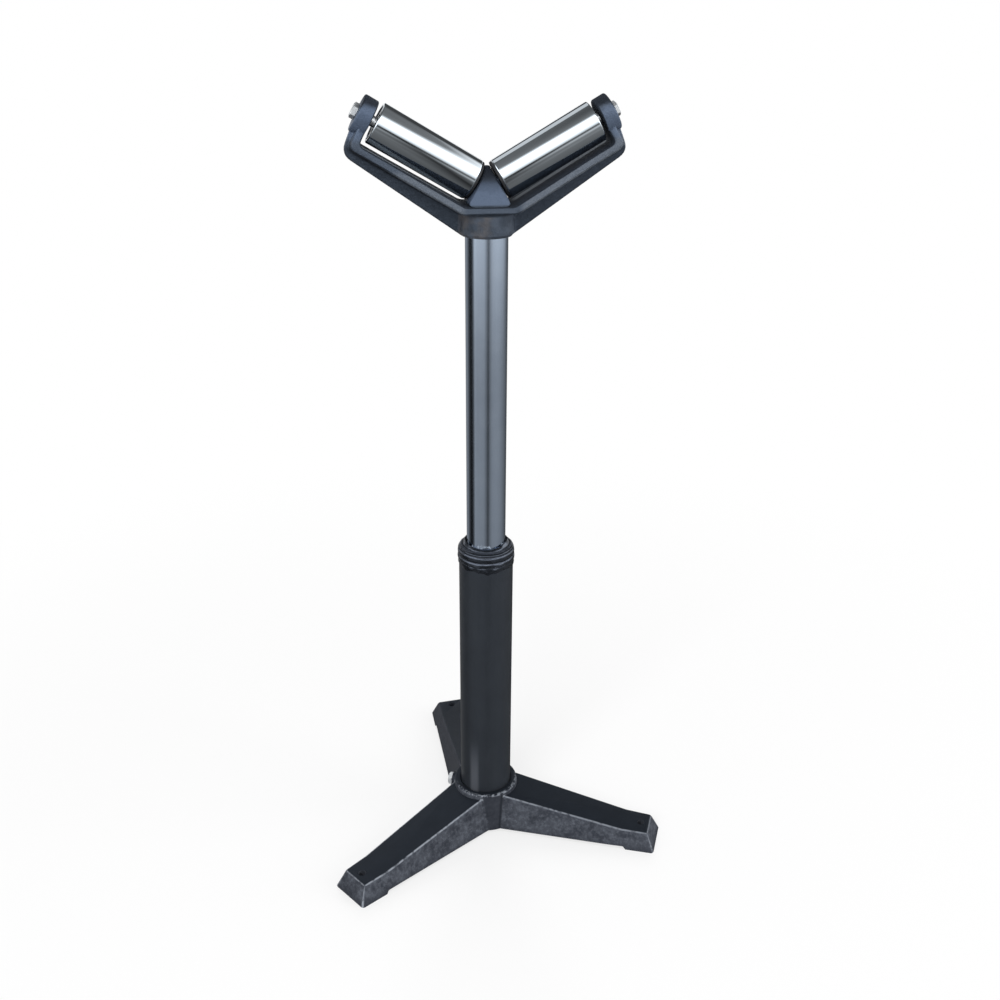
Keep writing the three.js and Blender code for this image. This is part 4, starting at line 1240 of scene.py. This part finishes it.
strap_upper = strap_side(plate_top, strap_top, ear_inside, strap_inner_bend)
strap_lower = strap_side(plate_bottom, strap_bottom, strap_ear_face, strap_outer_bend)
kink_x = at_level(strap_top, plate_top).x
taper_x = on_arm(strap_taper, strap_top).x
strap_sections = []
for upper, lower in zip(strap_upper, strap_lower):
    share = min(max((upper.x - kink_x) / (taper_x - kink_x), 0), 1)
    over_strap = upper.y * math.cos(tilt) - upper.x * math.sin(tilt) - strap_top
    ear_share = min(max(over_strap / strap_narrowing, 0), 1) if upper.x > taper_x else 0
    half = (strap_centre_depth + (strap_arm_depth - strap_centre_depth) * share) / 2
    half += (strap_ear_depth - strap_arm_depth) * ear_share / 2
    down = (lower - upper).normalized()
    thick = (lower - upper).length
    outline = [
        *arc(half - strap_lean - strap_edge, strap_edge, strap_edge, -90, -10, 4),
        *rim(half, thick, strap_edge, 4),
        *arc(rib_half + rib_fillet, thick + rib_fillet, rib_fillet, -90, -180, 5),
    ]
    outline = outline + [(-y, fall) for y, fall in reversed(outline)]
    strap_sections.append([(upper.x + down.x * fall, y, upper.y + down.y * fall) for y, fall in outline])
mirrored = [[(-x, y, z) for x, y, z in section] for section in strap_sections[1:]]
strap = loft([*reversed(strap_sections), *mirrored])

strap_middle = (strap_top + strap_bottom) / 2
rib_toe = -(head_corner + rib_toe_gap)
rib_outline = [
    (Vector((yoke_hub_radius - yoke_hub_chamfer, yoke_hub_foot)), 0),
    (on_arm(ear_outside - rib_heel_inset, strap_bottom - rib_depth), rib_heel_radius),
    (on_arm(ear_outside - rib_toe_inset, rib_toe), rib_toe_radius),
    (on_arm(ear_inside + rib_overlap, rib_toe), 0),
    (on_arm(ear_inside + rib_overlap, strap_middle), 0),
    (at_level(strap_middle, (plate_top + plate_bottom) / 2), 0),
]
rib_outline += [(Vector((-here.x, here.y)), radius) for here, radius in reversed(rib_outline)]
rib_outline = rounded(rib_outline, True)


def inward_offset(outline, inset):
    """The outline moved in by a distance, point by point."""
    sharpest_lean = 0.3
    moved = []
    for i, here in enumerate(outline):
        before = (here - outline[i - 1]).normalized()
        after = (outline[(i + 1) % len(outline)] - here).normalized()
        side = Vector((-(before.y + after.y), before.x + after.x)).normalized()
        lean = max(side.dot(Vector((-before.y, before.x))), sharpest_lean)
        moved.append(here + side * (inset / lean))
    return moved


rib_sections = []
for inner, depth in arc(0, rib_half - rib_edge, rib_edge, 90, 0, 4):
    rib_sections.append([(here.x, depth, here.y) for here in inward_offset(rib_outline, rib_edge - inner)])
rib_sections += [[(x, -y, z) for x, y, z in section] for section in reversed(rib_sections)]
rib = loft(rib_sections)

peak_corner = 2.5 * mm
peak_round = 7 * mm
peak_sink = 3 * mm
peak_foot_depth = 62 * mm
peak_shoulder = 14 * mm
peak_shoulder_depth = 40.5 * mm
peak_top = 26 * mm
peak_top_depth = 11 * mm
peak_side_offset = 16 * mm
peak_lean = 1 * mm
peak_top_lean = 0.5 * mm
peak_narrowing = (peak_foot_depth - peak_shoulder_depth) / (peak_shoulder - plate_top)
peak_levels = [(plate_top - peak_sink, peak_foot_depth, peak_lean)]
for rise in [peak_round * share for share in (0, 0.1, 0.25, 0.5, 1)]:
    peak_levels.append((plate_top + rise, peak_foot_depth - peak_narrowing * rise, peak_lean))
peak_levels.append((peak_shoulder, peak_shoulder_depth, peak_lean))
peak_levels.append((peak_top, peak_top_depth, peak_top_lean))
peak_sections = []
for level, depth, lean in peak_levels:
    rise_share = min(max((level - plate_top) / peak_round, 0), 1)
    drawn_in = peak_round * (1 - math.sqrt(1 - (1 - rise_share) ** 2))
    middle = (peak_side_offset - level * math.sin(tilt)) / math.cos(tilt) - drawn_in
    right_side = [(middle, 0), *rim(middle - lean, depth / 2, peak_corner)]
    back_half = right_side + [(-x, y) for x, y in reversed(right_side[1:])]
    outline = back_half + [(-x, -y) for x, y in back_half]
    peak_sections.append([(x, y, level) for x, y in outline])
peak = loft(peak_sections)

yoke_hub_waist = yoke_hub_radius - yoke_hub_draft
yoke_hub_rim = yoke_hub_foot + yoke_hub_chamfer + yoke_hub_edge / 2
yoke_hub_neck = plate_bottom - yoke_hub_fillet
yoke_hub_top = plate_bottom + yoke_hub_overlap
yoke_hub = turned(
    [(0, yoke_hub_foot), (yoke_hub_radius - yoke_hub_chamfer, yoke_hub_foot),
     *arc(yoke_hub_radius - yoke_hub_edge, yoke_hub_rim, yoke_hub_edge, -20, 0, 3),
     (yoke_hub_waist, yoke_hub_neck),
     *arc(yoke_hub_waist + yoke_hub_fillet, yoke_hub_neck, yoke_hub_fillet, 180, 120, 4)[1:],
     (yoke_hub_radius + yoke_hub_flare, yoke_hub_top), (0, yoke_hub_top)],
    large_sides,
)
mast_hole_top = mast_high.z + fit_gap - axle_cross.z
mast_hole = bar(mast_radius + slide_gap, yoke_hub_foot - overrun, mast_hole_top, large_sides)
yoke_bolt_place = radial(math.pi / 2, yoke_bolt_drop)
yoke_bolt_seat = yoke_hub_radius + bolt_boss_rise
yoke_boss_start = mast_radius + 1 * mm
yoke_boss = bolt_boss(yoke_boss_start, yoke_bolt_seat, yoke_bolt_place)
yoke_bolt_hole = bar(bolt_radius + thread_gap, 0, yoke_bolt_seat + overrun, hole_sides, yoke_bolt_place)
joined_pieces = [rib, peak, yoke_hub, yoke_boss]
cut_pieces = [mast_hole, yoke_bolt_hole]
arm_turns = {
    "left": Matrix.Rotation(tilt - math.pi / 2, 4, "Y"),
    "right": Matrix.Rotation(math.pi / 2 - tilt, 4, "Y"),
}
for arm_turn in arm_turns.values():
    ear = disc(ear_radius, ear_inside, ear_outside, ear_edge, ear_sides, arm_turn)
    joined_pieces += [ear, bar(axle_boss_radius, axle_boss_start, axle_boss_end, small_sides, arm_turn)]
    axle_hole = bar(bolt_radius + thread_gap, axle_hole_start, ear_outside + overrun, hole_sides, arm_turn)
    cut_pieces.append(axle_hole)
yoke = combined("UNION", strap, *joined_pieces)
yoke = combined("DIFFERENCE", yoke, *cut_pieces)
yoke.transform(yoke_place)

hub_top_level = (plate_bottom - 1 * mm, plate_bottom - 4 * mm)
hub_width = (38 * mm, 35 * mm)
right_to_left = (8 * mm, -10 * mm)
left_arm_to_right = (-1 * mm, 1 * mm)
face_up = (0.42, 0.66)
face_inward = (-0.3, -0.6)
inside_ears = (100 * mm, 106 * mm)
beyond_hub = (30 * mm, 40 * mm)
beside_rib = (13 * mm, 16 * mm)
above_rib = (-41.5 * mm, -40 * mm)
under_strap_width = (3.4 * mm, 1 * mm)
under_rib_width = (13 * mm, 10 * mm)
backlight_band_place = 3 * mm
backlight_band_width = (9 * mm, 4 * mm)
under_rollers = (-26 * mm, -28 * mm)
peak_width = (30 * mm, 26 * mm)
peak_face_top = (14 * mm, 8 * mm)
peak_face_foot = (plate_top + 1 * mm, plate_top + 3 * mm)
ear_start = (106 * mm, 112 * mm)
ear_face_foot = (54 * mm, 64 * mm)
ear_face_top = (104 * mm, 92 * mm)
sand_depth = 0.28 * mm
dent_depth = 0.9 * mm
satin = Finish("painted_casting", Metallic=0.0, Specular_IOR_Level=0.8, Specular_Tint=tint("d0e2ff"))
sand = satin.noise(1.8 * mm, 4.0, roughness=0.65)
patch = satin.noise(25 * mm, 3.0)
mottle = satin.noise(16 * mm, 3.0, roughness=0.5)
hollows = satin.noise(9 * mm, 2.0)
x, y, z = satin.place.parts()
y = y - axle_cross.y
z = z - axle_cross.z
aside = abs(x)
over_arm = z * math.cos(tilt) - aside * math.sin(tilt)
facing = satin.node("NewGeometry", {}, "Normal").parts()
outward = facing[0] * (x.step(*left_arm_to_right) * 2 - 1)
top_face = facing[2].step(*face_up)
inner_face = outward.step(*face_inward) * aside.step(*inside_ears)
# Painted shade: up-facing faces and the uprights' inner faces beside the rollers are darkened and roughened.
painted_shade = top_face.most(inner_face)
arm = aside.step(*beyond_hub)
strap_front = abs(y).step(*beside_rib) * arm * (1 - painted_shade) * over_arm.step(*above_rib)
# Painted shade: a dark line along the crease under the strap, over the rib.
under_strap = abs(over_arm - above_rib[0]).step(*under_strap_width)
crevice_shade = under_strap * abs(y).step(*under_rib_width) * arm
# Painted light: a pale band on the strap's top under the rollers, where light from behind skims in.
painted_backlight_band = abs(y - backlight_band_place).step(*backlight_band_width) * arm * top_face * over_arm.step(*under_rollers)
peak_face = z.step(*peak_face_top) * z.step(*peak_face_foot) * aside.step(*peak_width)
ear_face = aside.step(*ear_start) * z.step(*ear_face_foot) * z.step(*ear_face_top) * (1 - inner_face)
# Painted light: the peak's front face and the ears' fronts are painted paler and bluish, as if lit.
painted_lit_faces = (peak_face + ear_face) * (1 - top_face)
on_hub = z.step(*hub_top_level) * (x * x + y * y).root().step(*hub_width)
black = satin.mix(patch * 0.5 + sand.step(0.46, 0.72) * 0.5, tint("1b2026"), tint("323a44"))
# The strap's upright faces are paler: partly rubbed wear, partly a painted highlight along its lit bead.
rubbed_and_lit_front = strap_front * (0.4 + sand.step(0.40, 0.62) * 0.45)
black = satin.mix(rubbed_and_lit_front, black, tint("565b61"))
black = satin.mix(crevice_shade.most(painted_shade) * 0.9, black, tint("06070a"))
black = satin.mix(painted_backlight_band * 0.9, black, tint("7a8086"))
black = satin.mix(painted_lit_faces * 0.8, black, tint("475366"))
warm = satin.noise(14 * mm, 3.0).step(0.35, 0.6) * x.step(*right_to_left)
stained = satin.mix(warm, tint("3f4650"), tint("4d4a49"))
black = satin.mix(on_hub * (0.25 + mottle.step(0.30, 0.70) * 0.75), black, stained)
relief = satin.bump(sand, sand_depth, satin.bump(hollows, dent_depth))
satin.feed({
    "Base Color": black,
    "Roughness": 0.36 + sand * 0.24 + painted_shade * 0.35,
    "Normal": relief,
})
dressed("yoke_casting", yoke, satin, "yoke")
yoke_bolt = hex_bolt(mast_radius + fit_gap, yoke_bolt_seat + fit_gap, yoke_place @ yoke_bolt_place)
dressed("yoke_set_bolt", yoke_bolt, zinc, "yoke")

# Rollers: chromed steel tube with a rounded edge at each end, turning on two sealed ball
# bearings on an axle bolt. Bright spacers keep it clear of the ear and the peak.

roller_sides = 192
shell_wall = 4 * mm
shell_edge = 1.6 * mm
shell_chamfer = 0.6 * mm
shell_bore = roller_radius - shell_wall
spacer_radius = 6.5 * mm
spacer_edge = 0.4 * mm
spacer_overlap = 1.5 * mm
dust_cap_foot = 17.2 * mm
dust_cap_bore = 7.2 * mm
dust_cap_radius = 24.4 * mm
dust_cap_edge = 1 * mm
dust_cap_overlap = 0.2 * mm
ball_radius = 2.1 * mm
ball_pitch_radius = 10.2 * mm
ball_count = 10
ball_fineness = 3
cage_width = 3.6 * mm
cage_thickness = 0.6 * mm
cage_steps = 96
chrome = Finish("chrome", Metallic=1.0, Specular_IOR_Level=0.5)
smear = chrome.noise(30 * mm, 3.0)
chrome.feed({
    "Base Color": chrome.mix(smear, tint("c6d0d8"), tint("d6dee5")),
    "Roughness": 0.05 + smear * 0.06,
})
steel = Finish("bearing_steel", Metallic=1.0)
steel.feed({
    "Base Color": steel.mix(steel.noise(4 * mm), tint("7c8288"), tint("9aa0a5")),
    "Roughness": 0.3 + steel.noise(1 * mm) * 0.15,
})
seal = Finish("bearing_seal", Metallic=0.0)
seal.feed({
    "Base Color": seal.mix(seal.noise(2 * mm), tint("15161a"), tint("202226")),
    "Roughness": 0.55 + seal.noise(1 * mm) * 0.15,
})

for side, arm_turn in arm_turns.items():
    arm_place = yoke_place @ arm_turn
    shell = turned(
        [(shell_bore, roller_inner_offset + shell_chamfer), (shell_bore + shell_chamfer, roller_inner_offset),
         *foot_rim(roller_radius, roller_inner_offset, shell_edge, 6),
         *rim(roller_radius, roller_outer_offset, shell_edge, 6),
         (shell_bore + shell_chamfer, roller_outer_offset),
         (shell_bore, roller_outer_offset - shell_chamfer)],
        roller_sides, arm_place,
    )
    dressed(side + "_roller_shell", shell, chrome, side + "_roller")
    bolt = hex_bolt(axle_boss_start, ear_outside + fit_gap, arm_place)
    dressed(side + "_axle_bolt", bolt, zinc, "yoke")
    dust_cap_top = roller_inner_offset + dust_cap_overlap
    dust_cap = turned(
        [(dust_cap_bore, dust_cap_foot), (dust_cap_radius - dust_cap_edge, dust_cap_foot),
         *foot_rim(dust_cap_radius, dust_cap_foot, dust_cap_edge),
         (dust_cap_radius, dust_cap_top), (dust_cap_bore, dust_cap_top)],
        large_sides, arm_place,
    )
    piece(side + "_dust_cap", dust_cap, black_plastic, side + "_roller")
    spacer_ends = {
        "outboard_spacer": (roller_outer_offset - spacer_overlap, ear_inside),
        "inboard_spacer": (axle_boss_end, roller_inner_offset + spacer_overlap),
    }
    for name, (low, high) in spacer_ends.items():
        bore = bolt_radius + thread_gap
        ends = (low + fit_gap, high - fit_gap)
        spacer = tube(spacer_radius, bore, *ends, spacer_edge, middle_sides, arm_place)
        dressed(f"{side}_{name}", spacer, zinc, "yoke")
    coat(steel, side + "_bearing_spacer_tube")
    for end in ("inboard", "outboard"):
        for name in ("roller_hub", "bearing_outer_ring", "bearing_inner_ring"):
            coat(steel, f"{side}_{end}_{name}")
        low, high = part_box(f"{side}_{end}_bearing_ball_set")
        ring_place = Matrix.Translation((low + high) / 2) @ arm_place.to_3x3().to_4x4()
        balls = Growth(f"{side}_{end}_ball_ring", ball_radius=ball_radius, pitch_radius=ball_pitch_radius,
                       cage_width=cage_width, cage_thickness=cage_thickness, count=ball_count)
        given = balls.given
        inputs = {"Vertices": given["count"], "Radius": given["pitch_radius"]}
        ring = balls.node("GeometryNodeMeshCircle", inputs)
        inputs = {"Subdivisions": ball_fineness, "Radius": given["ball_radius"]}
        ball = balls.node("GeometryNodeMeshIcoSphere", inputs)
        ring = balls.node("GeometryNodeInstanceOnPoints", {"Points": ring, "Instance": ball})
        inputs = {"Resolution": cage_steps, "Radius": given["pitch_radius"]}
        cage = balls.node("GeometryNodeCurvePrimitiveCircle", inputs)
        inputs = {"Width": given["cage_thickness"], "Height": given["cage_width"]}
        strip = balls.node("GeometryNodeCurvePrimitiveQuadrilateral", inputs)
        cage = balls.node("GeometryNodeCurveToMesh", {"Curve": cage, "Profile Curve": strip})
        both = balls.node("GeometryNodeJoinGeometry", {"Geometry": ring})
        balls.put(both.socket.node.inputs[0], cage)
        piece(f"{side}_{end}_ball_ring", balls.grown(both, steel, ring_place), steel, side + "_roller",
              f"{side}_{end}_bearing_ball_set")
        coat(seal, f"{side}_{end}_bearing_shield")
